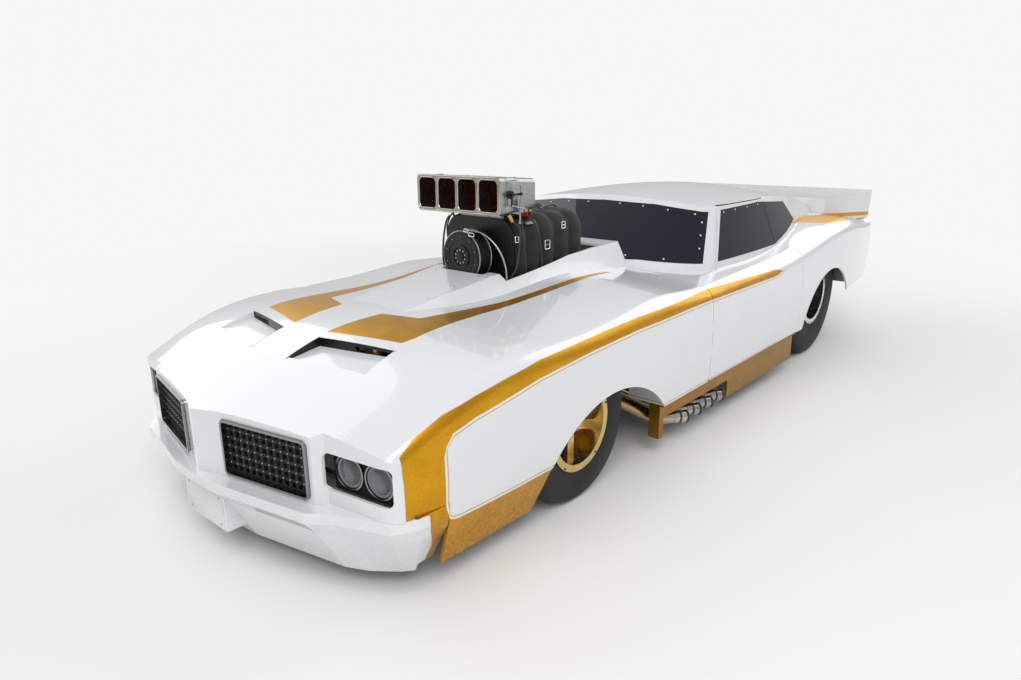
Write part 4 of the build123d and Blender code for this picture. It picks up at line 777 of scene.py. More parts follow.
class Piece:
    """One bmesh that becomes an object on a body of the car."""

    def __init__(self, name: str, body: str = "chassis") -> None:
        """Start an empty mesh for the named piece."""
        self.name = name
        self.body = body
        self.mesh = bmesh.new()

    def turned(
        self, points: list, centre: tuple, axis: Axis | Vector, steps: int, closed: bool = False
    ) -> None:
        """Spin a line of points about an axis.

        Args:
            points: (radius, along) pairs from one end to the other.
            centre: the place on the axis that along counts from.
            axis: the axis to turn about.
            steps: how many faces lie round the turn.
            closed: whether the line's ends join.
        """
        middle = Vector(centre)
        way = Vector(getattr(axis, "value", axis)).normalized()
        out = way.orthogonal().normalized()
        spots = [middle + way * along + out * max(radius, 1e-5) for radius, along in points]
        line = [self.mesh.verts.new(spot) for spot in spots]
        pairs = [*zip(line, line[1:]), *([(line[-1], line[0])] if closed else [])]
        edges = [self.mesh.edges.new(pair) for pair in pairs]
        bmesh.ops.spin(
            self.mesh, geom=line + edges, cent=middle, axis=way, dvec=(0, 0, 0), angle=math.tau, steps=steps,
            use_merge=True, use_normal_flip=False, use_duplicate=False,
        )

    def ring(self, centre: tuple, axis: Axis | Vector, radius: float, thick: float, steps: int) -> None:
        """Add a round ring with a round section."""
        turns = [math.tau * k / 8 for k in range(8)]
        section = [(radius + thick * math.cos(a), thick * math.sin(a)) for a in turns]
        self.turned(section, centre, axis, steps, closed=True)

    def block(self, low: tuple, high: tuple, bevel: float = 0.0) -> list:
        """Add a box between two corners, with its edges rounded, and return its vertices."""
        low, high = (Vector(corner) for corner in zip(*(sorted(pair) for pair in zip(low, high))))
        place = Matrix.Translation((low + high) / 2) @ Matrix.Diagonal((*(high - low), 1.0))
        made = bmesh.ops.create_cube(self.mesh, size=1.0, matrix=place)["verts"]
        if bevel:
            edges = list({e for v in made for e in v.link_edges})
            made = bmesh.ops.bevel(
                self.mesh, geom=made + edges, offset=bevel, offset_type="OFFSET", affect="EDGES", segments=2,
                profile=0.5, material=-1,
            )["verts"]
        return made

    def slab(self, middle: tuple, size: tuple, bevel: float = 0.0) -> list:
        """Add a box of this size round its middle, and return its vertices."""
        middle, half = Vector(middle), Vector(size) / 2
        return self.block(middle - half, middle + half, bevel)

    def rod(self, start: tuple, end: tuple, radius: float, sides: int = 12, tip: float | None = None) -> None:
        """Add a round bar between two points, tapered to tip where that is given."""
        start, end = Vector(start), Vector(end)
        way = end - start
        turn = way.to_track_quat("Z", "Y").to_matrix().to_4x4()
        bmesh.ops.create_cone(
            self.mesh, cap_ends=True, segments=sides, radius1=radius, radius2=radius if tip is None else tip,
            depth=way.length, matrix=Matrix.Translation((start + end) / 2) @ turn,
        )

    def ball(self, centre: tuple, radius: float, squash: tuple = (1.0, 1.0, 1.0), detail: int = 12) -> None:
        """Add a round knob, squashed along the axes."""
        bmesh.ops.create_uvsphere(
            self.mesh, u_segments=detail, v_segments=max(6, detail // 2), radius=radius,
            matrix=Matrix.Translation(centre) @ Matrix.Diagonal((*squash, 1.0)),
        )

    def sweep(self, edges: list, frames: list) -> list:
        """Draw edges out from the first frame through the others, and return the last ones."""
        for last, here in zip(frames, frames[1:]):
            fresh = set(only_verts(bmesh.ops.extrude_edge_only(self.mesh, edges=edges)["geom"]))
            edges = list({e for v in fresh for e in v.link_edges if fresh.issuperset(e.verts)})
            bmesh.ops.transform(self.mesh, matrix=here @ last.inverted(), verts=list(fresh))
        return edges

    def hose(
        self, points: list, radius: float, sides: int = 8, smooth: int = 6, closed: bool = False
    ) -> None:
        """Sweep a ring along a smooth line through points.

        Args:
            points: the places that the line goes through.
            radius: the hose's radius.
            sides: faces round the hose.
            smooth: steps from one point to the next.
            closed: whether the line returns to its first point.
        """
        frames = path_frames(smooth_path(points, smooth, closed), closed)
        settings = {"cap_ends": False, "radius": radius, "segments": sides, "matrix": frames[0]}
        ring = bmesh.ops.create_circle(self.mesh, **settings)["verts"]
        first = list({e for v in ring for e in v.link_edges})
        if closed:
            bmesh.ops.bridge_loops(self.mesh, edges=first + self.sweep(first, frames))
        else:
            bmesh.ops.contextual_create(self.mesh, geom=first)
            bmesh.ops.contextual_create(self.mesh, geom=self.sweep(first, frames))

    def bead(self, centre: tuple, size: tuple, corner: float, radius: float, axis: Axis = Axis.Y) -> None:
        """Add a round bead bent into a rounded rectangle.

        Args:
            centre: the rectangle's middle.
            size: its width and height.
            corner: radius of its corners.
            radius: radius of the bead.
            axis: the axis that the rectangle faces along, Y or X.
        """
        across, up = size[0] / 2 - corner, size[1] / 2 - corner
        points = []
        for number, (u, v) in enumerate(((1, 1), (-1, 1), (-1, -1), (1, -1))):
            for step in range(5):
                angle = math.radians(90.0 * number + 22.5 * step)
                wide, high = u * across + corner * math.cos(angle), v * up + corner * math.sin(angle)
                spot = (wide, 0.0, high) if axis is Axis.Y else (0.0, wide, high)
                points.append(Vector(spot) + Vector(centre))
        self.hose(points, radius, 8, 1, closed=True)

    def band(self, points: list, across: tuple, width: float, smooth: int = 5) -> None:
        """Lay a flat band of webbing along a smooth line.

        Args:
            points: the places that its middle goes through.
            across: the way that its width runs.
            width: the band's width.
            smooth: steps from one point to the next.
        """
        frames = path_frames(smooth_path(points, smooth), False, Vector(across).normalized())
        start = [self.mesh.verts.new(frames[0] @ Vector((side * width / 2, 0.0, 0.0))) for side in (-1, 1)]
        self.sweep([self.mesh.edges.new(start)], frames)

    def cushion(self, low: tuple, high: tuple, crown: float, channels: tuple, cuts: int = 18) -> list:
        """Fill an empty mesh with a stuffed pad: crowned faces, sides drawn in between the corners.

        Args:
            low: its lowest corner.
            high: its highest corner.
            crown: how far the middle of each large face swells, as a share of the thickness.
            channels: (axis number, place from -1 to 1, depth) of each sewn channel.
            cuts: how finely it is divided.

        Returns:
            Its vertices.
        """
        bmesh.ops.create_cube(self.mesh, size=2.0)
        bmesh.ops.subdivide_edges(self.mesh, edges=self.mesh.edges[:], cuts=cuts, use_grid_fill=True)
        made = self.mesh.verts[:]
        low, high = Vector(low), Vector(high)
        middle, half = (low + high) / 2, (high - low) / 2
        thin = min(range(3), key=lambda n: half[n])
        wide = [n for n in range(3) if n != thin]
        for vert in made:
            spot = vert.co.copy()
            rim = (1 - 0.5 * spot[wide[0]] ** 6) * (1 - 0.5 * spot[wide[1]] ** 6)
            swell = 1 - crown + crown * (1 - spot[wide[0]] ** 2) * (1 - spot[wide[1]] ** 2)
            out = spot.copy()
            out[thin] = spot[thin] * rim * swell
            for here, other in (wide, wide[::-1]):
                drawn = 1 - 0.06 * (1 - spot[other] ** 2) - 0.10 * spot[thin] ** 2
                out[here] = spot[here] * (1 - abs(spot[here]) ** 3 * (1 - drawn))
            for axis, place, depth in channels:
                gap = (spot[axis] - place) * half[axis]
                out[thin] *= 1 - depth * math.exp(-((gap / 0.009) ** 2))
            vert.co = middle + Vector(out[n] * half[n] for n in range(3))
        return made

    def tilt(self, centre: tuple, axis: Axis, degrees: float, verts: list | None = None) -> None:
        """Turn the whole mesh, or some of its vertices, about a line through a point."""
        turn = Matrix.Rotation(math.radians(degrees), 3, Vector(axis.value))
        bmesh.ops.rotate(
            self.mesh, cent=Vector(centre), matrix=turn, verts=self.mesh.verts[:] if verts is None else verts
        )

    def everything(self) -> list:
        """All that the mesh holds."""
        return [*self.mesh.verts, *self.mesh.edges, *self.mesh.faces]

    def copy(self, geometry: list) -> list:
        """Duplicate parts of the mesh and return the new vertices."""
        return only_verts(bmesh.ops.duplicate(self.mesh, geom=geometry)["geom"])

    def copy_round(self, count: int, centre: tuple, axis: Axis) -> None:
        """Repeat everything in the mesh round an axis."""
        geometry = self.everything()
        for k in range(1, count):
            self.tilt(centre, axis, 360.0 * k / count, self.copy(geometry))

    def mirrored(self) -> None:
        """Repeat everything in the mesh on the car's other side."""
        bmesh.ops.scale(self.mesh, vec=(-1.0, 1.0, 1.0), verts=self.copy(self.everything()))

    def finish(
        self, look: Finish, wall: float = 0.0, round_off: int = 0, bevel: float = 0.0
    ) -> bpy.types.Object:
        """Turn the mesh into a piece of the car.

        Args:
            look: the finish that it wears.
            wall: thickness given to an open sheet.
            round_off: levels of a live subdivision surface.
            bevel: width of a live bevel on its sharp edges.

        Returns:
            The object, riding on its body.
        """
        bmesh.ops.remove_doubles(self.mesh, verts=self.mesh.verts, dist=1e-5)
        bmesh.ops.recalc_face_normals(self.mesh, faces=self.mesh.faces)
        data = bpy.data.meshes.new(self.name)
        self.mesh.to_mesh(data)
        self.mesh.free()
        data.shade_smooth()
        data.set_sharp_from_angle(angle=math.radians(40.0))
        data.materials.append(material(look))
        piece = bpy.data.objects.new(self.name, data)
        bpy.context.scene.collection.objects.link(piece)
        for used, kind, settings in (
            (wall, "SOLIDIFY", {"thickness": wall, "offset": 0.0}),
            (round_off, "SUBSURF", {"levels": round_off, "render_levels": round_off}),
            (bevel, "BEVEL", {"width": bevel, "segments": 2, "limit_method": "ANGLE"}),
        ):
            if used:
                modifier = piece.modifiers.new(kind.lower(), kind)
                for key, value in settings.items():
                    setattr(modifier, key, value)
        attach(piece, self.body)
        log.info("piece %s: %d faces on %s", self.name, len(data.polygons), self.body)
        return piece


class Surface:
    """The skin of a CAD node, to set small pieces down on."""

    def __init__(self, node: str) -> None:
        """Keep the node's triangles in a search tree."""
        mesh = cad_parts[node].data
        points = [v.co.copy() for v in mesh.vertices]
        self.tree = BVHTree.FromPolygons(points, [tuple(p.vertices) for p in mesh.polygons])

    def touch(self, start: tuple, way: tuple) -> tuple:
        """Where a line from a point first meets the skin, with the direction that the skin faces there."""
        place, normal, _, _ = self.tree.ray_cast(Vector(start), Vector(way))
        return place, normal


# The car's own sub-assemblies


def dress(looks: dict) -> None:
    """Give the CAD nodes under each finish that finish."""
    for look, nodes in looks.items():
        for node in nodes.split():
            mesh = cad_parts[node].data
            mesh.materials.clear()
            mesh.materials.append(material(look))
            log.info("node %s: %s", node, look.name)


@dataclass
class Coachwork:
    """The painted shell and its windows, with the small fasteners along them."""

    looks: ClassVar[dict] = {
        Finish.PAINT: "front_clip bonnet_hatch rear_body door_left door_right front_bumper spoiler",
        Finish.ROCKER: "rockers",
        Finish.TINT: "door_glass_left door_glass_right quarter_glass windscreen rear_window",
    }
    button: float = 0.0055
    button_rim: tuple = (0.001, 0.0022, 0.0026)
    screen_top: tuple = ((0.60, 1.134), (0.44, 1.152), (0.28, 1.167), (0.12, 1.174))
    screen_low: tuple = ((0.55, 0.898), (0.35, 0.912))
    screen_side: tuple = ((0.685, 0.95), (0.667, 1.02), (0.650, 1.09))
    door_edge: tuple = ((1.70, 1.135), (1.85, 1.138), (2.02, 1.140), (2.19, 1.142))
    hatch_x: float = 0.155
    hatch_rows: tuple = (-0.225, -0.05, 0.125)
    spoiler_row: tuple = (9, 0.17, 4.035)

    def fasteners(self, node: str, name: str, look: Finish, rays: list, body: str = "chassis") -> None:
        """Set a round-headed button where each ray meets a node's skin.

        Args:
            node: the node that they sit on.
            name: the piece's name.
            look: the finish that they wear.
            rays: a start and a direction for each.
            body: the body that they ride on.
        """
        skin = Surface(node)
        piece = Piece(name, body)
        shoulder, crown, top = self.button_rim
        foot, rim = 2 * GAP, self.button
        section = [(0.0, foot), (rim, foot), (rim, shoulder), (rim * 0.6, crown), (0.0, top)]
        for start, way in rays:
            place, normal = skin.touch(start, way)
            if place is not None:
                piece.turned(section, place, normal, 12)
        piece.finish(look)

    def build(self) -> None:
        """Dress the shell and set its fasteners."""
        dress(self.looks)
        edge = (*self.screen_top, *self.screen_low, *self.screen_side)
        rays = [((s * x, at(0.4), z), Axis.Y.value) for s in (1, -1) for x, z in edge]
        self.fasteners("windscreen", "windscreen_buttons", Finish.WHITE_CAP, rays)
        for side in Side:
            rays = [((side.value * 1.2, at(d), z), (-side.value, 0.0, 0.0)) for d, z in self.door_edge]
            node, name = f"door_glass_{side.word}", f"door_glass_buttons_{side.word}"
            self.fasteners(node, name, Finish.WHITE_CAP, rays, f"door_{side.word}_body")
        rays = [((x, at(d), 1.3), DOWN) for x in (-self.hatch_x, self.hatch_x) for d in self.hatch_rows]
        self.fasteners("bonnet_hatch", "hatch_fasteners", Finish.CHROME, rays, "hatch")
        count, pitch, along = self.spoiler_row
        rays = [(((k - count // 2) * pitch, at(along), 1.5), DOWN) for k in range(count)]
        self.fasteners("spoiler", "spoiler_screws", Finish.STEEL, rays)


@dataclass
class Nose:
    """Grilles, lamps and the blank plate in the bumper."""

    looks: ClassVar[dict] = {
        Finish.PEWTER: "nose_trim", Finish.MATT_BLACK: "grille_inserts lamp_panels",
        Finish.LENS: "lamp_lenses", Finish.RED_LENS: "tail_lamps",
    }
    grille: tuple = (0.353, at(-1.2019), 0.490)
    slant: float = 11.19
    pitch: float = 0.034
    columns: int = 6
    rows: int = 2
    stud: float = 0.0036
    # A black sheet behind each grille, as painted shade inside the nose.
    screen: tuple = (0.424, 0.002, 0.220)
    screen_back: float = 0.034
    lamps: tuple = (0.750, at(-1.0716), 0.490)
    lamp_slant: float = 8.37
    lamp_pitch: float = 0.139
    bowl: tuple = ((0.0, 0.0004), (0.016, 0.0005), (0.040, 0.0029), (0.056, 0.0074))
    plate: tuple = (0.140, -1.2935, 0.152, 0.293)
    plate_screw: tuple = (0.022, 0.016)

    def pair(self, piece: Piece, centre: tuple, slant: float, look: Finish) -> None:
        """Slant a piece with the nose, repeat it on the other side, and finish it."""
        piece.tilt(centre, Axis.Z, slant)
        piece.mirrored()
        piece.finish(look)

    def studs(self) -> None:
        """Bright studs where the grille's bars cross, and a black sheet behind them that paints the shade
        inside the nose.
        """
        piece = Piece("grille_studs")
        x, y, z = self.grille
        for column in range(-self.columns, self.columns + 1):
            for row in range(-self.rows, self.rows + 1):
                place = (x + column * self.pitch, y - GAP, z + row * self.pitch)
                piece.ball(place, self.stud, (1.0, 0.6, 1.0), 8)
        self.pair(piece, self.grille, self.slant, Finish.STEEL)
        # Painted shade: a black sheet behind the grille hides the lit inside of the nose.
        screen = Piece("grille_screens")
        screen.slab((x, y + self.screen_back + self.screen[1] / 2, z), self.screen, 0.0006)
        self.pair(screen, self.grille, self.slant, Finish.MATT_BLACK)

    def bowls(self) -> None:
        """A reflector bowl behind each lens."""
        piece = Piece("lamp_reflectors")
        x, y, z = self.lamps
        for shift in (-0.5, 0.5):
            piece.turned(self.bowl, (x + shift * self.lamp_pitch, y, z), FORWARD, 40)
        self.pair(piece, self.lamps, self.lamp_slant, Finish.BOWL)

    def blank_plate(self) -> None:
        """The plate in the bumper, left blank, with its four screws."""
        half, along, low, high = self.plate
        plate = Piece("number_plate")
        plate.block((-half, at(along), low), (half, at(along) + 0.0012, high), 0.0005)
        plate.finish(Finish.WHITE_CAP)
        screws = Piece("plate_screws")
        side, edge = self.plate_screw
        for x in (side - half, half - side):
            for z in (low + edge, high - edge):
                screws.rod((x, at(along) - GAP, z), (x, at(along) - 0.0022, z), 0.0045, 10, 0.0035)
        screws.finish(Finish.STEEL)

    def build(self) -> None:
        """Dress the nose and add its pieces."""
        dress(self.looks)
        self.studs()
        self.bowls()
        self.blank_plate()


@dataclass
class Wheel:
    """One rim's nuts, cap, lip bolts and valve, on its own wheel body."""

    end: str
    side: Side
    along: float
    radius: float
    face: float
    dish: float
    nut_ring: float
    nut_r: float
    cap_r: float
    lip_bolts: int
    lip_ring: float
    lip_look: Finish
    lip: float = 0.0055
    nuts: int = 5
    bolt_r: float = 0.0042
    cap: tuple = ((1.0, 0.0003), (1.0, 0.010), (0.86, 0.016), (0.5, 0.020), (0.0, 0.0213))
    valve: tuple = (0.034, 0.023, 0.026, 0.004)

    def axle_point(self, x: float) -> Vector:
        """A point on the axle line, this far out from the car's middle."""
        return Vector((self.side.value * x, at(self.along), self.radius))

    def bolts(self, name: str, count: int, face: float, reach: tuple, ring: float, sizes: tuple) -> Piece:
        """A piece with hexagons round the axle.

        Args:
            name: the last word of the piece's name.
            count: how many there are.
            face: how far out from the car's middle the face is that they stand on.
            reach: where each starts and ends, out from that face.
            ring: radius of the circle that they stand on.
            sizes: each one's radius at its foot and at its tip.

        Returns:
            The piece, not yet finished.
        """
        side = self.side.word
        piece = Piece(f"{self.end}_wheel_{side}_{name}", f"wheel_{self.end}_{side}")
        start, end = (self.axle_point(face + out) + Vector((0.0, 0.0, ring)) for out in reach)
        piece.rod(start, end, sizes[0], 6, sizes[1])
        piece.copy_round(count, self.axle_point(face), Axis.X)
        return piece

    def build(self) -> None:
        """Add the nuts with their cap, and the lip's bolts with the valve."""
        sizes = (self.nut_r, self.nut_r * 0.86)
        hub = self.bolts("nuts", self.nuts, self.dish, (0.0003, 0.019), self.nut_ring, sizes)
        dome = [(self.cap_r * share, rise) for share, rise in self.cap]
        out = Vector((self.side.value, 0.0, 0.0))
        hub.turned([(0.0, 0.0003), *dome], self.axle_point(self.dish), out, 32)
        hub.finish(Finish.STEEL)
        edge, sizes = self.face - self.lip, (self.bolt_r, 0.0036)
        lip = self.bolts("lip", self.lip_bolts, edge, (GAP, 0.0042), self.lip_ring, sizes)
        back, inside, length, rise = self.valve
        foot = self.axle_point(self.face - back) - Vector((0.0, 0.0, self.lip_ring - inside))
        lip.rod(foot, foot + Vector((self.side.value * length, 0.0, rise)), self.bolt_r, 10, 0.0032)
        lip.finish(self.lip_look)


@dataclass
class Running:
    """Frame, axles, wheels and tyres."""

    looks: ClassVar[dict] = {
        Finish.FRAME: "chassis_frame front_arms",
        Finish.STEEL: "knuckle_left knuckle_right rear_axle driveshaft",
        Finish.SHEET: "floor_pan firewall wheel_tubs", Finish.RIM_GOLD: "front_rim_left front_rim_right",
        Finish.POLISHED: "rear_rim_left rear_rim_right",
        Finish.FRONT_RUBBER: "front_tyre_left front_tyre_right",
        Finish.REAR_RUBBER: "rear_tyre_left rear_tyre_right",
    }
    wheels: ClassVar[tuple] = (
        {
            "end": "front", "along": 0.0, "radius": 0.356, "face": 0.885, "dish": 0.829, "nut_ring": 0.031,
            "nut_r": 0.0095, "cap_r": 0.015, "lip_bolts": 5, "lip_ring": 0.1975, "lip_look": Finish.BLACK,
        },
        {
            "end": "rear", "along": 2.920, "radius": 0.446, "face": 0.876, "dish": 0.592, "nut_ring": 0.058,
            "nut_r": 0.013, "cap_r": 0.030, "lip_bolts": 24, "lip_ring": 0.2095, "lip_look": Finish.STEEL,
        },
    )
    strut_x: float = 0.655
    spring_span: tuple = (0.485, 0.690)
    spring_r: float = 0.0495
    wire: float = 0.0058
    turns: int = 7

    def spring(self, side: Side) -> None:
        """The coil spring round a strut."""
        low, high = self.spring_span
        steps = 12 * self.turns
        points = []
        for k in range(steps + 1):
            angle = math.tau * self.turns * k / steps
            middle = Vector((side.value * self.strut_x, at(0.0), low + (high - low) * k / steps))
            points.append(middle + Vector((math.cos(angle), math.sin(angle), 0.0)) * self.spring_r)
        piece = Piece(f"coil_spring_{side.word}", f"knuckle_{side.word}_body")
        piece.hose(points, self.wire, 8, 1)
        piece.finish(Finish.RED_METAL)

    def build(self) -> None:
        """Dress the running gear and add its springs, bolts and caps."""
        dress(self.looks)
        for side in Side:
            self.spring(side)
            for sizes in self.wheels:
                Wheel(side=side, **sizes).build()


@dataclass(frozen=True)
class RoundedSection:
    """A rounded rectangle across the car, open at its foot, walked from the left foot over the top."""

    half: float
    low: float
    top: float
    corner: float

    @property
    def flat(self) -> float:
        """Half the length of its level top."""
        return self.half - self.corner

    @property
    def rise(self) -> float:
        """Height of its upright sides."""
        return self.top - self.low - 2 * self.corner

    @property
    def arc(self) -> float:
        """Length of one round corner."""
        return self.corner * math.pi / 2

    def length(self) -> float:
        """Length of the whole walk."""
        return 2 * (self.flat + self.rise + 2 * self.arc)

    def spot(self, share: float) -> tuple:
        """Place and outward direction at a share of the walk.

        Args:
            share: 0 at the left foot, 1 at the right foot.

        Returns:
            (x, z) of the place, and (x, z) of the direction.
        """
        walk = abs(share - 0.5) * self.length()
        sign = 1.0 if share < 0.5 else -1.0
        if walk < self.flat:
            return (sign * walk, self.top), (0.0, 1.0)
        walk -= self.flat
        if self.arc <= walk < self.arc + self.rise:
            return (sign * self.half, self.top - self.corner - (walk - self.arc)), (sign, 0.0)
        if walk < self.arc:
            angle, level = walk / self.corner, self.top - self.corner
            out = (math.sin(angle), math.cos(angle))
        else:
            angle, level = (walk - self.arc - self.rise) / self.corner, self.low + self.corner
            out = (math.cos(angle), -math.sin(angle))
        place = (sign * (self.flat + self.corner * out[0]), level + self.corner * out[1])
        return place, (sign * out[0], out[1])


@dataclass
class Blanket:
    """The quilted blanket strapped over the blower."""

    section: RoundedSection = RoundedSection(0.235, 0.870, 1.185, 0.095)
    front: float = 0.303
    rear: float = 0.866
    straps: tuple = (0.383, 0.496, 0.616, 0.748)
    strap_width: float = 0.026
    strap_off: float = 0.0062
    puff: float = 0.013
    valley: float = 0.003
    quilt: float = 0.082
    hat_foot: tuple = (0.158, 0.468)
    turn_in: float = 0.030
    buckles: tuple = ((0.545, 1.037, 0.040), (0.300, 1.092, 0.026), (0.690, 1.120, 0.030))

    def lift(self, along: float, share: float) -> float:
        """How far the blanket stands off the blower at a place."""
        lines = (self.front, *self.straps, self.rear)
        rise = 0.0
        for a, b in zip(lines, lines[1:]):
            if a <= along <= b:
                rise = math.sin(math.pi * (along - a) / (b - a)) ** 0.7
        walk = share * self.section.length()
        sewn = 0.45 + 0.55 * abs(math.sin(math.pi * walk / self.quilt)) ** 0.5
        return self.valley + self.puff * rise * sewn

    def place(self, along: float, share: float, off: float) -> Vector:
        """A point this far off the blower's skin."""
        (x, z), (out_x, out_z) = self.section.spot(share)
        return Vector((x + out_x * off, at(along), z + out_z * off))

    def cover(self) -> None:
        """The blanket itself, tucked in behind the blower and under the hat's foot."""
        piece = Piece("blower_blanket")
        verts = bmesh.ops.create_grid(piece.mesh, x_segments=120, y_segments=96, size=1.0)["verts"]
        span = self.rear + self.turn_in - self.front
        for vert in verts:
            share = (vert.co.x + 1) / 2
            along = self.front + span * (vert.co.y + 1) / 2
            past = max(0.0, along - self.rear)
            off = self.lift(min(along, self.rear), share) - past * 1.1
            along = min(along, self.rear) + min(past, 0.006)
            spot = self.place(along, share, off)
            near = max(abs(spot.x) - self.hat_foot[0], along - self.hat_foot[1])
            if spot.z > self.section.top - 0.02:
                spot.z = min(spot.z, self.section.top + max(-0.003, near * 0.8))
            vert.co = spot
        ways = {f"use_axis_{way}": True for way in "xyz"}
        bmesh.ops.smooth_vert(piece.mesh, verts=piece.mesh.verts[:], factor=0.4, **ways)
        cover = piece.finish(Finish.QUILT, wall=0.003)

    def strap(self) -> None:
        """The straps that hold the blanket down, open where the hat's foot stands."""
        piece = Piece("blanket_straps")
        shares = [k / 60 for k in range(61)]
        clear = (self.hat_foot[0] + 0.01) / self.section.length()
        left = [share for share in shares if share < 0.5 - clear]
        for along in self.straps:
            runs = (left, [1 - share for share in left]) if along < self.hat_foot[1] else (shares,)
            for run in runs:
                line = [self.place(along, share, self.strap_off) for share in run]
                piece.band(line, Axis.Y.value, self.strap_width, 1)
        piece.finish(Finish.WEBBING, wall=0.0022)

    def buckle(self) -> None:
        """Square buckles on the car's left side, and their bars."""
        piece = Piece("blanket_buckles")
        for along, z, size in self.buckles:
            centre = self.place(along, self.share_at(z), 0.021)
            piece.bead(centre, (size, size * 1.15), size * 0.16, 0.0024, Axis.X)
            half = Vector((0, size / 2, 0))
            piece.rod(centre - half, centre + half, 0.0018, 8)
        piece.finish(Finish.CHROME)

    def share_at(self, z: float) -> float:
        """Share of the walk, on the left side and above its foot, at a height."""
        steps = [k / 400 for k in range(32, 200)]
        return min(steps, key=lambda share: abs(self.section.spot(share)[0][1] - z))

    def build(self) -> None:
        """Make the blanket with its straps and buckles."""
        self.cover()
        self.strap()
        self.buckle()


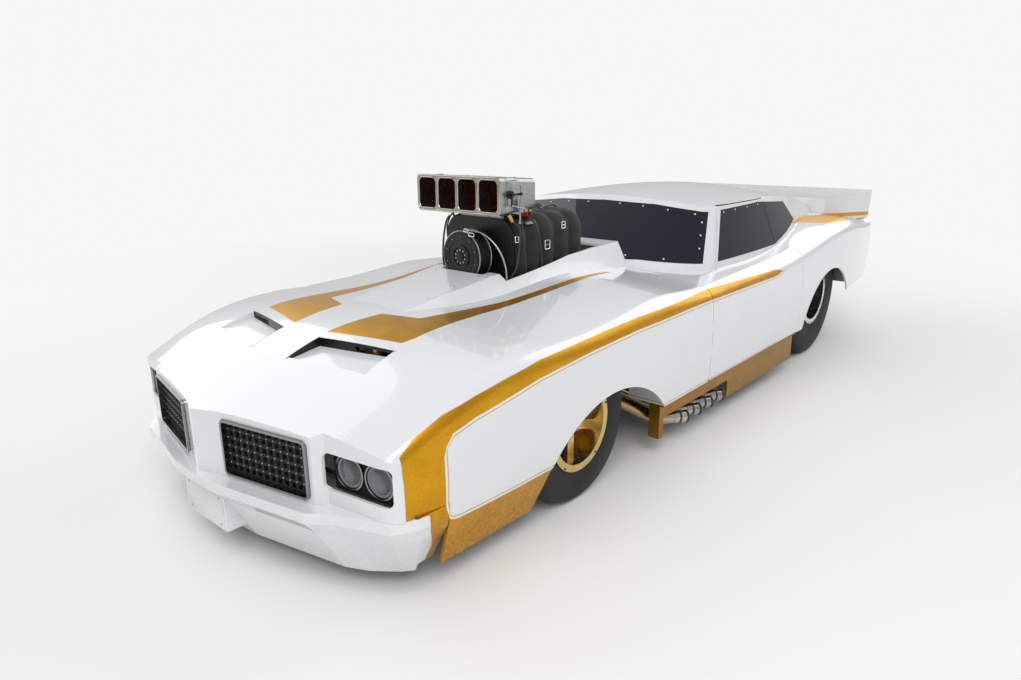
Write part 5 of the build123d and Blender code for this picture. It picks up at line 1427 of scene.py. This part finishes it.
@dataclass
class Hat:
    """The injector hat's beads, side plates, linkage and fittings."""

    front: float = 0.143
    low: float = 1.220
    top: float = 1.404
    half: float = 0.288
    mouth: tuple = (0.1265, 0.156)
    pitch: float = 0.1405
    corner: float = 0.026
    frame_inset: float = 0.0096
    taper: float = 9.547
    plate: tuple = (0.2711, at(0.245), 1.310)
    plate_size: tuple = (0.0022, 0.110, 0.142)
    fold: tuple = (0.2652, at(0.245), 1.3905)
    fold_high: float = 0.019
    screw_x: tuple = (-0.25, -0.15, -0.05, 0.05, 0.15, 0.25)
    screw_rows: tuple = ((0.175, 1.0), (0.42, 0.78))
    screw: tuple = ((0.0, GAP), (0.0055, GAP), (0.0055, 0.0009), (0.003, 0.0014), (0.0, 0.0015))
    pivot: tuple = ((0.0, 0.0), (0.020, 0.0), (0.020, 0.008), (0.009, 0.008), (0.009, 0.020), (0.0, 0.020))
    fitting_x: float = 0.215
    fitting_rows: tuple = (0.385, 0.419, 0.453)
    hose_runs: tuple = (
        (
            0.0062,
            (
                (0.262, 0.385, 1.190), (0.284, 0.392, 1.180), (0.284, 0.43, 1.12), (0.270, 0.47, 1.02),
                (0.262, 0.49, 0.93),
            ),
        ),
        (
            0.0058,
            (
                (0.215, 0.453, 1.226), (0.216, 0.475, 1.248), (0.20, 0.53, 1.240), (0.16, 0.60, 1.218),
                (0.10, 0.72, 1.213), (0.06, 0.86, 1.206), (0.05, 0.92, 1.13), (0.05, 0.93, 1.04),
            ),
        ),
        (
            0.0052,
            (
                (0.226, 0.306, 1.178), (0.262, 0.315, 1.14), (0.270, 0.30, 1.05), (0.262, 0.285, 0.95),
                (0.235, 0.27, 0.90),
            ),
        ),
        (
            0.0046,
            (
                (0.16, 0.365, 1.205), (0.235, 0.352, 1.196), (0.268, 0.330, 1.12), (0.272, 0.345, 1.00),
                (0.262, 0.36, 0.92),
            ),
        ),
    )

    def beads(self) -> None:
        """Bright beads round the hat's face and round each mouth."""
        piece = Piece("hat_beads")
        middle = (self.low + self.top) / 2
        for k in range(4):
            centre = ((k - 1.5) * self.pitch, at(self.front), middle)
            piece.bead(centre, self.mouth, self.corner, 0.0036)
        size = (2 * self.half - self.frame_inset, self.top - self.low - self.frame_inset)
        piece.bead((0.0, at(self.front) + 0.001, middle), size, 0.024, 0.0046)
        piece.finish(Finish.HAT_BEAD)

    def side_plates(self) -> None:
        """A plate on each side of the hat, which carries the throttle shaft's end."""
        piece = Piece("hat_side_plates")
        thick, length, _ = self.plate_size
        piece.slab(self.plate, self.plate_size, 0.0006)
        fold = piece.slab(self.fold, (thick, length, self.fold_high), 0.0006)
        piece.tilt(self.fold, Axis.Y, -45.0, fold)
        piece.tilt(self.plate, Axis.Z, self.taper)
        piece.mirrored()
        piece.finish(Finish.BRUSHED)

    def screws(self) -> None:
        """Screws along the hat's top."""
        piece = Piece("hat_screws")
        skin = Surface("injector_hat")
        for x in self.screw_x:
            for along, drawn_in in self.screw_rows:
                piece.turned(self.screw, *skin.touch((x * drawn_in, at(along), 1.6), DOWN), 12)
        piece.finish(Finish.STEEL)

    def linkage(self) -> None:
        """Throttle arm, rods and their ends on the hat's left side."""
        arm = Piece("throttle_arm")
        arm.turned(self.pivot, (0.2845, at(0.219), 1.318), Axis.X, 28)
        arm.block((0.291, at(0.214), 1.262), (0.2965, at(0.226), 1.318), 0.0015)
        arm.block((0.291, at(0.219), 1.3125), (0.2965, at(0.286), 1.3235), 0.0015)
        arm.rod((0.299, at(0.279), 1.318), (0.307, at(0.279), 1.318), 0.007, 12)
        arm.finish(Finish.BLACK)
        rods = Piece("throttle_rods")
        top, foot, cross = (0.302, at(0.281), 1.358), (0.270, at(0.306), 1.176), (0.299, at(0.220), 1.266)
        rods.rod(top, foot, 0.0042, 12)
        for end, radius in ((top, 0.008), (foot, 0.008)):
            rods.ball(end, radius)
        rods.rod(cross, (0.299, at(0.330), 1.240), 0.003, 10)
        rods.ball(cross, 0.006)
        rods.block((0.196, at(0.388), 1.156), (0.244, at(0.466), 1.168), 0.002)
        rods.block((0.228, at(0.330), 1.222), (0.262, at(0.352), 1.250), 0.003)
        rods.finish(Finish.BRUSHED)

    def fittings(self) -> None:
        """Anodised fuel fittings and their caps."""
        red = Piece("fuel_fittings_red")
        gold = Piece("fuel_fittings_gold")
        for y in (at(along) for along in self.fitting_rows):
            red.rod((self.fitting_x, y, 1.198), (self.fitting_x, y, 1.216), 0.0095, 6)
            gold.rod((self.fitting_x, y, 1.2162), (self.fitting_x, y, 1.226), 0.0070, 6)
        rail = at(self.fitting_rows[0])
        red.rod((0.166, rail, 1.190), (0.248, rail, 1.190), 0.0085, 12)
        red.rod((0.2482, rail, 1.190), (0.262, rail, 1.190), 0.0100, 6)
        gold.rod((0.226, at(0.272), 1.216), (0.226, at(0.300), 1.178), 0.0100, 6, 0.0080)
        red.finish(Finish.RED_METAL)
        gold.finish(Finish.RIM_GOLD)
        caps = Piece("fuel_caps")
        caps.rod((0.245, at(0.250), 1.236), (0.245, at(0.250), 1.262), 0.011, 16, 0.010)
        caps.rod((0.120, at(0.520), 1.199), (0.120, at(0.520), 1.215), 0.010, 16)
        caps.finish(Finish.WHITE_CAP)

    def hoses(self) -> None:
        """Dark hoses from the hat down both sides of the blower."""
        piece = Piece("fuel_hoses")
        for radius, points in self.hose_runs:
            piece.hose([(x, at(along), z) for x, along, z in points], radius)
        piece.mirrored()
        piece.finish(Finish.HOSE)

    def foot(self) -> None:
        """The nuts of the flange under the hat."""
        piece = Piece("hat_flange_nuts")
        for x in (-0.138, -0.05, 0.05, 0.138):
            piece.rod((x, at(0.3185), 1.196), (x, at(0.3115), 1.196), 0.006, 6)
        piece.finish(Finish.STEEL)

    def build(self) -> None:
        """Make the hat's small pieces."""
        self.beads()
        self.side_plates()
        self.screws()
        self.linkage()
        self.fittings()
        self.hoses()
        self.foot()


@dataclass
class Drum:
    """The cover on the blower's drive: braided rims, ribs, bolts and a buckle."""

    front: float = 0.160
    level: float = 1.0
    radius: float = 0.125
    rear: float = 0.258
    loop: tuple = (
        (0.03, 0.172, 1.133), (0.124, 0.176, 1.130), (0.196, 0.184, 1.092), (0.243, 0.196, 1.030),
        (0.262, 0.206, 0.965), (0.262, 0.214, 0.905),
    )
    face_ribs: tuple = ((0.116, 0.006, 0.0024), (0.088, 0.004, 0.0024), (0.058, 0.010, 0.0060))
    hub: tuple = ((0.0, 0.0), (0.020, 0.0), (0.020, 0.008), (0.012, 0.0095), (0.0, 0.0095))
    face_bolts: tuple = ((0.034, 0.005, 0.0058), (0.102, 0.0024, 0.0036))
    buckles: tuple = ((0.087, 0.1500, 1.118, (0.036, 0.017)), (0.050, 0.1512, 1.136, (0.030, 0.015)))

    def rims(self) -> None:
        """Braided rims round the drum, and the loop that hangs beside it."""
        piece = Piece("drum_rims")
        for along in (self.front + 0.006, self.rear - 0.008):
            piece.ring((0.0, at(along), self.level), Axis.Y, self.radius + 0.0028, 0.0036, 72)
        piece.hose([(x, at(along), z) for x, along, z in self.loop], 0.0042, 10)
        piece.finish(Finish.BRAID)

    def face(self) -> None:
        """Ribs, hub and bolts on the drum's face."""
        piece = Piece("drum_face")
        face = Vector((0.0, at(self.front) - GAP, self.level))
        for radius, width, rise in self.face_ribs:
            section = [(radius - width, 0.0), (radius - width, rise), (radius, rise), (radius, 0.0)]
            piece.turned(section, face, FORWARD, 64, closed=True)
        piece.turned(self.hub, face, FORWARD, 32)
        bolts = Piece("drum_bolts")
        for out, length, radius in self.face_bolts:
            start = face + Vector((0.0, 0.0, out))
            bolts.rod(start, start + FORWARD * length, radius, 6)
        bolts.copy_round(10, face, Axis.Y)
        piece.finish(Finish.BLACK, bevel=0.0006)
        bolts.finish(Finish.STEEL)

    def build(self) -> None:
        """Make the drum's pieces, with the buckle on its upper left."""
        self.rims()
        self.face()
        piece = Piece("drum_buckle")
        for x, along, z, size in self.buckles:
            piece.bead((x, at(along), z), size, 0.005, 0.0021)
        piece.finish(Finish.CHROME)


@dataclass
class Pipes:
    """Collars, seams and clamps on the exhaust pipes."""

    elbow: tuple = (0.830, at(0.740), 0.150)
    end: tuple = (0.925, at(0.910), 0.135)
    pitch: float = 0.140
    radius: float = 0.032

    def along_pipe(self, number: int, back: float) -> tuple:
        """A point this far up a pipe from its mouth, and the way to the mouth."""
        step = Vector((0.0, number * self.pitch, 0.0))
        start, mouth = Vector(self.elbow) + step, Vector(self.end) + step
        way = (mouth - start).normalized()
        return mouth - way * back, way

    def sleeve(self, piece: Piece, number: int, back: float, width: float, rise: float) -> None:
        """A band round a pipe, from back up the pipe by its width."""
        inner, outer = self.radius + 0.0003, self.radius + rise
        section = [(inner, 0.0), (outer, 0.0006), (outer, -width + 0.0006), (inner, -width)]
        piece.turned(section, *self.along_pipe(number, back), 40, closed=True)

    def build(self) -> None:
        """Add collars near the mouths, weld seams at the bends, and clamp bolts."""
        collars, seams, bolts = (Piece(f"pipe_{name}") for name in ("collars", "seams", "clamp_bolts"))
        for number in range(4):
            self.sleeve(collars, number, 0.004, 0.012, 0.0022)
            self.sleeve(collars, number, 0.050, 0.010, 0.0018)
            self.sleeve(seams, number, 0.092, 0.004, 0.0012)
            centre, way = self.along_pipe(number, 0.055)
            centre += Vector((0.0, 0.0, self.radius + 0.006))
            bolts.rod(centre - way * 0.010, centre + way * 0.010, 0.0035, 8)
            bolts.rod(centre + way * 0.0102, centre + way * 0.015, 0.0055, 6)
        for piece, look in ((collars, Finish.DARK_STEEL), (seams, Finish.STEEL), (bolts, Finish.STEEL)):
            piece.mirrored()
            piece.finish(look)


@dataclass
class Engine:
    """Valve covers and plug leads on the engine."""

    cover: tuple = (0.190, 0.760, 0.330, 0.690)
    front: float = 0.325
    rear: float = 0.815
    cover_half: float = 0.070
    rib_first: float = 0.045
    rib_pitch: float = 0.018
    first_plug: float = 0.360
    plug_pitch: float = 0.140

    def valve_covers(self) -> None:
        """A ribbed cover on each bank."""
        piece = Piece("valve_covers")
        x0, z0, x1, z1 = self.cover
        x, z = (x0 + x1) / 2, (z0 + z1) / 2
        front, rear, half = at(self.front), at(self.rear), self.cover_half
        piece.block((x - half, front, z + 0.0006), (x + half, rear, z + 0.058), 0.012)
        for k in range(6):
            rib = x - self.rib_first + self.rib_pitch * k
            piece.block((rib - 0.003, front + 0.03, z + 0.057), (rib + 0.003, rear - 0.03, z + 0.063), 0.001)
        lean = math.degrees(math.atan2(z0 - z1, x1 - x0))
        piece.tilt((x, (front + rear) / 2, z), Axis.Y, lean)
        piece.mirrored()
        piece.finish(Finish.CAST)

    def leads(self) -> None:
        """Plug leads from the rear of the engine to each cylinder."""
        piece = Piece("plug_leads")
        for k in range(4):
            plug = self.first_plug + self.plug_pitch * k
            points = (
                (0.150, 0.890, 0.800), (0.245, 0.860 - 0.01 * k, 0.835 + 0.012 * k),
                (0.300, plug + 0.05, 0.800), (0.372, plug, 0.690), (0.360, plug, 0.610),
            )
            piece.hose([(x, at(along), z) for x, along, z in points], 0.004)
        piece.mirrored()
        piece.finish(Finish.RED_LEAD)

    def build(self) -> None:
        """Make the engine's pieces."""
        self.valve_covers()
        self.leads()


@dataclass
class Power:
    """Engine, blower, hat and pipes."""

    looks: ClassVar[dict] = {
        Finish.CAST: "engine", Finish.BLACK: "blower belt_drive", Finish.BRUSHED: "injector_hat",
        Finish.SHADED_RED: "hat_butterflies", Finish.PIPE: "headers",
    }

    def build(self) -> None:
        """Dress the engine and add its pieces."""
        dress(self.looks)
        for part in (Blanket(), Hat(), Drum(), Pipes(), Engine()):
            part.build()


@dataclass
class Seat:
    """A hard shell with padded cushions and a harness."""

    middle: float = 0.380
    half: float = 0.208
    base: tuple = (1.645, 2.030, 0.186, 0.345)
    hinge: tuple = (0.380, at(2.100), 0.24)
    lean: float = -3.2
    pad_inset: float = 0.032
    strap: float = 0.048
    pads: tuple = (
        ("base", 0.0, (1.665, 0.238), (2.035, 0.318), ((1, -0.35, 0.3), (1, 0.35, 0.3)), False),
        ("back", 0.0, (2.018, 0.330), (2.080, 0.735), ((2, -0.5, 0.3), (2, 0.0, 0.3), (2, 0.5, 0.3)), True),
        ("head", 0.04, (2.030, 0.765), (2.088, 0.925), ((0, 0.0, 0.2),), True),
    )
    shoulder: tuple = (
        (0.075, 2.190, 0.800), (0.075, 2.120, 0.752), (0.074, 2.012, 0.735), (0.066, 1.990, 0.600),
        (0.045, 1.970, 0.460), (0.020, 1.905, 0.417),
    )
    lap: tuple = ((0.028, 1.907, 0.395), (0.110, 1.930, 0.372), (0.165, 1.990, 0.352))
    crotch: tuple = ((0.0, 1.901, 0.371), (0.0, 1.850, 0.342), (0.0, 1.740, 0.330))
    lock: tuple = (0.380, at(1.905), 0.395)
    clasp: tuple = (
        (0.0, 0.0), (0.032, 0.0), (0.034, 0.004), (0.030, 0.010), (0.010, 0.012), (0.0, 0.012)
    )

    def shell(self) -> None:
        """The bucket: pan, sides, back and head rest."""
        piece = Piece("seat_shell")
        x0, x1 = self.middle - self.half, self.middle + self.half
        front, rear, low, high = self.base
        piece.block((x0, at(front), low), (x1, at(2.115), low + 0.05), 0.008)
        for x in (x0, x1 - 0.024):
            piece.block((x, at(front + 0.01), low + 0.04), (x + 0.024, at(rear + 0.05), high + 0.03), 0.009)
        back = piece.block((x0, at(2.085), 0.24), (x1, at(2.108), 0.940), 0.010)
        for x in (x0, x1 - 0.022):
            back += piece.block((x, at(2.000), 0.40), (x + 0.022, at(2.095), 0.850), 0.009)
        piece.tilt(self.hinge, Axis.X, self.lean, back)
        shell = piece.finish(Finish.SHELL)
        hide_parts("seat")

    def cushions(self) -> None:
        """Base, back and head pads, each with sewn channels."""
        for name, drawn_in, front, rear, channels, leans in self.pads:
            piece = Piece(f"seat_{name}_pad")
            half = self.half - self.pad_inset - drawn_in
            low, high = ((self.middle + x, at(d), z) for x, (d, z) in ((-half, front), (half, rear)))
            piece.cushion(low, high, 0.35, channels)
            if leans:
                piece.tilt(self.hinge, Axis.X, self.lean)
            pad = piece.finish(Finish.SEAT, round_off=1)

    def webbing(self, piece: Piece, points: tuple, side: int, across: tuple, width: float) -> None:
        """One strap through points given from the seat's middle."""
        piece.band([(self.middle + side * x, at(d), z) for x, d, z in points], across, width)

    def harness(self) -> None:
        """Shoulder, lap and crotch straps, with their lock."""
        piece = Piece("seat_harness")
        for side in (1, -1):
            self.webbing(piece, self.shoulder, side, Axis.X.value, self.strap)
            self.webbing(piece, self.lap, side, (0.0, 0.35, 1.0), self.strap)
        self.webbing(piece, self.crotch, 1, Axis.X.value, 0.044)
        piece.finish(Finish.WEBBING, wall=0.0024)
        clasp = Piece("harness_lock")
        clasp.turned(self.clasp, self.lock, Vector((0.0, -0.75, 0.5)), 32)
        clasp.finish(Finish.CHROME)

    def build(self) -> None:
        """Make the seat."""
        self.shell()
        self.cushions()
        self.harness()


@dataclass
class Controls:
    """Steering wheel, gauges, switches and the gear lever."""

    wheel: tuple = (0.380, at(1.540) + 0.012, 0.690)
    wheel_r: float = 0.138
    lean: float = 14.04
    spoke: tuple = (0.016, 0.003)
    hub: tuple = ((0.0, -0.005), (0.030, -0.005), (0.030, 0.007), (0.020, 0.012), (0.0, 0.012))
    dash: float = at(1.300)
    dials: tuple = ((0.250, 0.032), (0.380, 0.048), (0.510, 0.032), (0.060, 0.026), (-0.020, 0.026))
    dial_z: float = 0.705
    first_switch: float = -0.10
    switch_pitch: float = 0.045

    def steering_wheel(self) -> None:
        """Padded rim on three spokes, with its column."""
        centre, axis = Vector(self.wheel), Vector((0.0, 1.0, 0.25))
        grip = Piece("steering_grip", "steering")
        grip.ring(centre, axis, self.wheel_r, 0.0105, 64)
        grip.finish(Finish.BLACK)
        piece = Piece("steering_spokes", "steering")
        wide, thick = self.spoke
        for degrees in (180.0, 300.0, 420.0):
            low, high = Vector((-wide, -thick, 0.02)), Vector((wide, thick, self.wheel_r))
            piece.tilt(centre, Axis.Y, degrees, piece.block(centre + low, centre + high, 0.0015))
        piece.turned(self.hub, centre, Axis.Y, 32)
        piece.tilt(centre, Axis.X, self.lean)
        piece.rod((centre.x, at(1.3045), 0.640), centre - axis.normalized() * 0.006, 0.0155, 20)
        spokes = piece.finish(Finish.BRUSHED)
        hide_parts("steering_wheel")

    def gauges(self) -> None:
        """Round gauges and a row of switches on the dashboard."""
        bezels = Piece("gauge_bezels")
        faces = Piece("gauge_faces")
        y, z = self.dash, self.dial_z
        for x, radius in self.dials:
            rim = [(radius - 0.005, GAP), (radius - 0.004, 0.009), (radius, 0.009), (radius + 0.001, GAP)]
            bezels.turned(rim, (x, y, z), Axis.Y, 40, closed=True)
            glass = radius - 0.0054
            face = [(0.0, 0.0004), (glass, 0.0004), (glass, 0.003), (0.0, 0.003)]
            faces.turned(face, (x, y, z), Axis.Y, 40)
            faces.block((x - 0.001, y + 0.0031, z), (x + 0.001, y + 0.004, z + radius * 0.7))
        for k in range(6):
            x = self.first_switch - self.switch_pitch * k
            bezels.rod((x, y + GAP, 0.690), (x, y + 0.004, 0.690), 0.008, 6)
            bezels.rod((x, y + 0.004, 0.690), (x, y + 0.020, 0.698), 0.0024, 8, 0.0034)
        bezels.finish(Finish.CHROME)
        faces.finish(Finish.WHITE_CAP)

    def gear_lever(self) -> None:
        """The lever on the tunnel."""
        piece = Piece("gear_lever")
        piece.block((0.030, at(1.480), 0.4765), (0.100, at(1.640), 0.520), 0.006)
        piece.rod((0.065, at(1.560), 0.520), (0.085, at(1.530), 0.690), 0.008, 16, 0.006)
        piece.finish(Finish.BRUSHED)
        knob = Piece("gear_knob")
        knob.ball((0.0855, at(1.529), 0.705), 0.019, (1.0, 1.0, 1.25), 24)
        knob.finish(Finish.BLACK)

    def build(self) -> None:
        """Make the controls."""
        self.steering_wheel()
        self.gauges()
        self.gear_lever()


@dataclass
class Chutes:
    """The two parachute packs under the tail."""

    x: float = 0.165
    rear: float = 4.030
    size: tuple = (0.190, 0.330, 0.175)
    low: float = 0.1853
    strap_rows: tuple = (-0.055, 0.075)
    crease: float = 0.010

    def pack(self, side: Side) -> None:
        """A packed bag with soft corners, standing in for its plain solid."""
        piece = Piece(f"parachute_pack_{side.word}")
        bmesh.ops.create_cube(piece.mesh, size=2.0)
        bmesh.ops.subdivide_edges(piece.mesh, edges=piece.mesh.edges[:], cuts=15, use_grid_fill=True)
        wide, long, high = self.size
        for vert in piece.mesh.verts:
            u, v, w = vert.co
            x = u * math.sqrt(1 - 0.28 * v * v - 0.28 * w * w + 0.12 * v * v * w * w)
            y = v * math.sqrt(1 - 0.24 * u * u - 0.24 * w * w + 0.10 * u * u * w * w)
            z = w * math.sqrt(1 - 0.30 * u * u - 0.30 * v * v + 0.14 * u * u * v * v)
            creases = (math.exp(-((v * long / 2 - row) / self.crease) ** 2) for row in self.strap_rows)
            pinch = 1 - 0.07 * sum(creases)
            z = z * pinch if w > 0 else max(z, -0.96)
            vert.co = (
                side.value * self.x + x * pinch * wide / 2, at(self.rear) - long / 2 + y * long / 2,
                self.low + high / 2 + z * high / 2,
            )
        bag = piece.finish(Finish.PACK, round_off=1)
        if side is Side.LEFT:
            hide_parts("parachutes")

    def straps(self) -> None:
        """Bands round the packs, and the pins that hold their flaps."""
        piece, pins = Piece("pack_straps"), Piece("pack_pins")
        section = RoundedSection(0.0905, self.low + 0.001, self.low + 0.171, 0.052)
        walk = [section.spot(k / 48)[0] for k in range(49)]
        for s in (1, -1):
            for row in self.strap_rows:
                y = at(self.rear - self.size[1] / 2 + row)
                piece.band([(s * self.x + x, y, z) for x, z in walk], Axis.Y.value, 0.028, 1)
            pins.ring((s * self.x, at(self.rear) + GAP, self.low + 0.092), Axis.Y, 0.011, 0.0018, 24)
        piece.finish(Finish.WEBBING, wall=0.002)
        pins.finish(Finish.STEEL)

    def build(self) -> None:
        """Make the packs."""
        dress({Finish.PACK: "parachutes"})
        for side in Side:
            self.pack(side)
        self.straps()


@dataclass
class Cockpit:
    """Seat, dashboard and steering wheel."""

    looks: ClassVar[dict] = {Finish.SHELL: "seat", Finish.BLACK: "dashboard steering_wheel"}

    def build(self) -> None:
        """Dress the cockpit and add its pieces."""
        dress(self.looks)
        Seat().build()
        Controls().build()


@dataclass
class Studio:
    """Floor, soft lamps, pale world and the camera of the photograph."""

    eye: tuple = (2.5804, -3.8005, 1.6094)
    yaw: float = 41.15
    pitch: float = 16.1636
    roll: float = -0.5153
    lens: float = 25.3876
    sensor: float = 36.0
    floor_half: float = 60.0
    floor_drop: float = 0.0005
    world_light: float = 0.52
    world_seen: float = 0.93
    aim: tuple = (0.0, 0.0, 0.5)
    lamps: tuple = (
        ("key lamp", (5.5, -6.0, 7.5), 7.0, 460.0),
        ("side lamp", (-7.0, -2.0, 5.5), 8.5, 200.0),
        ("rear lamp", (2.0, 8.5, 6.0), 8.5, 260.0),
    )

    @staticmethod
    def hang(name: str, data: bpy.types.ID, place: tuple, turn: Matrix) -> bpy.types.Object:
        """Put a lamp or a camera in the scene, turned as given."""
        item = bpy.data.objects.new(name, data)
        item.matrix_world = Matrix.Translation(place) @ turn.to_4x4()
        bpy.context.scene.collection.objects.link(item)
        return item

    def camera(self) -> None:
        """Place the camera where the photograph was taken from."""
        yaw, pitch, roll = (math.radians(a) for a in (self.yaw, self.pitch, self.roll))
        ahead = Vector((-math.sin(yaw) * math.cos(pitch), math.cos(yaw) * math.cos(pitch), -math.sin(pitch)))
        right = Vector((math.cos(yaw), math.sin(yaw), 0.0))
        up = right.cross(ahead)
        turned_right = right * math.cos(roll) + up * math.sin(roll)
        turned_up = -right * math.sin(roll) + up * math.cos(roll)
        data = bpy.data.cameras.new("photograph camera")
        data.lens = self.lens
        data.sensor_width = self.sensor
        turn = Matrix((turned_right, turned_up, -ahead)).transposed()
        bpy.context.scene.camera = self.hang("photograph camera", data, self.eye, turn)

    def light(self) -> None:
        """Hang the lamps and set the world."""
        for name, place, size, power in self.lamps:
            data = bpy.data.lights.new(name, "AREA")
            data.shape = "DISK"
            data.size = size
            data.energy = power
            way = Vector(self.aim) - Vector(place)
            self.hang(name, data, place, way.to_track_quat("-Z", "Y").to_matrix())
        world = bpy.data.worlds.new("studio world")
        world.use_nodes = True
        graph = Graph(world.node_tree)
        graph.tree.nodes.clear()
        seen = graph.seen("Camera", "Transmission")
        strength = graph.remap(seen, (0.0, 1.0), (self.world_light, self.world_seen))
        back = graph.add("ShaderNodeBackground", {"Color": rgba((1.0, 1.0, 1.0)), "Strength": strength})
        graph.add("ShaderNodeOutputWorld", {"Surface": back.outputs[0]})
        bpy.context.scene.world = world
        bpy.context.scene.view_settings.view_transform = "Standard"

    def floor(self) -> None:
        """Lay the floor."""
        mesh = bmesh.new()
        bmesh.ops.create_grid(mesh, x_segments=8, y_segments=8, size=self.floor_half)
        data = bpy.data.meshes.new("studio_floor")
        mesh.to_mesh(data)
        mesh.free()
        data.materials.append(Ground().build())
        floor = bpy.data.objects.new("studio_floor", data)
        floor.location.z = -self.floor_drop
        bpy.context.scene.collection.objects.link(floor)

    def build(self) -> None:
        """Set the whole stage."""
        self.floor()
        self.light()
        self.camera()


def main() -> None:
    """Dress the car, add its small pieces, and set up the studio."""
    logging.basicConfig(level=logging.INFO, format="%(message)s")
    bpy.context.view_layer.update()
    for assembly in (Coachwork(), Nose(), Running(), Power(), Cockpit(), Chutes()):
        assembly.build()
        log.info("built %s", type(assembly).__name__)
    Studio().build()


if __name__ == "__main__":
    main()
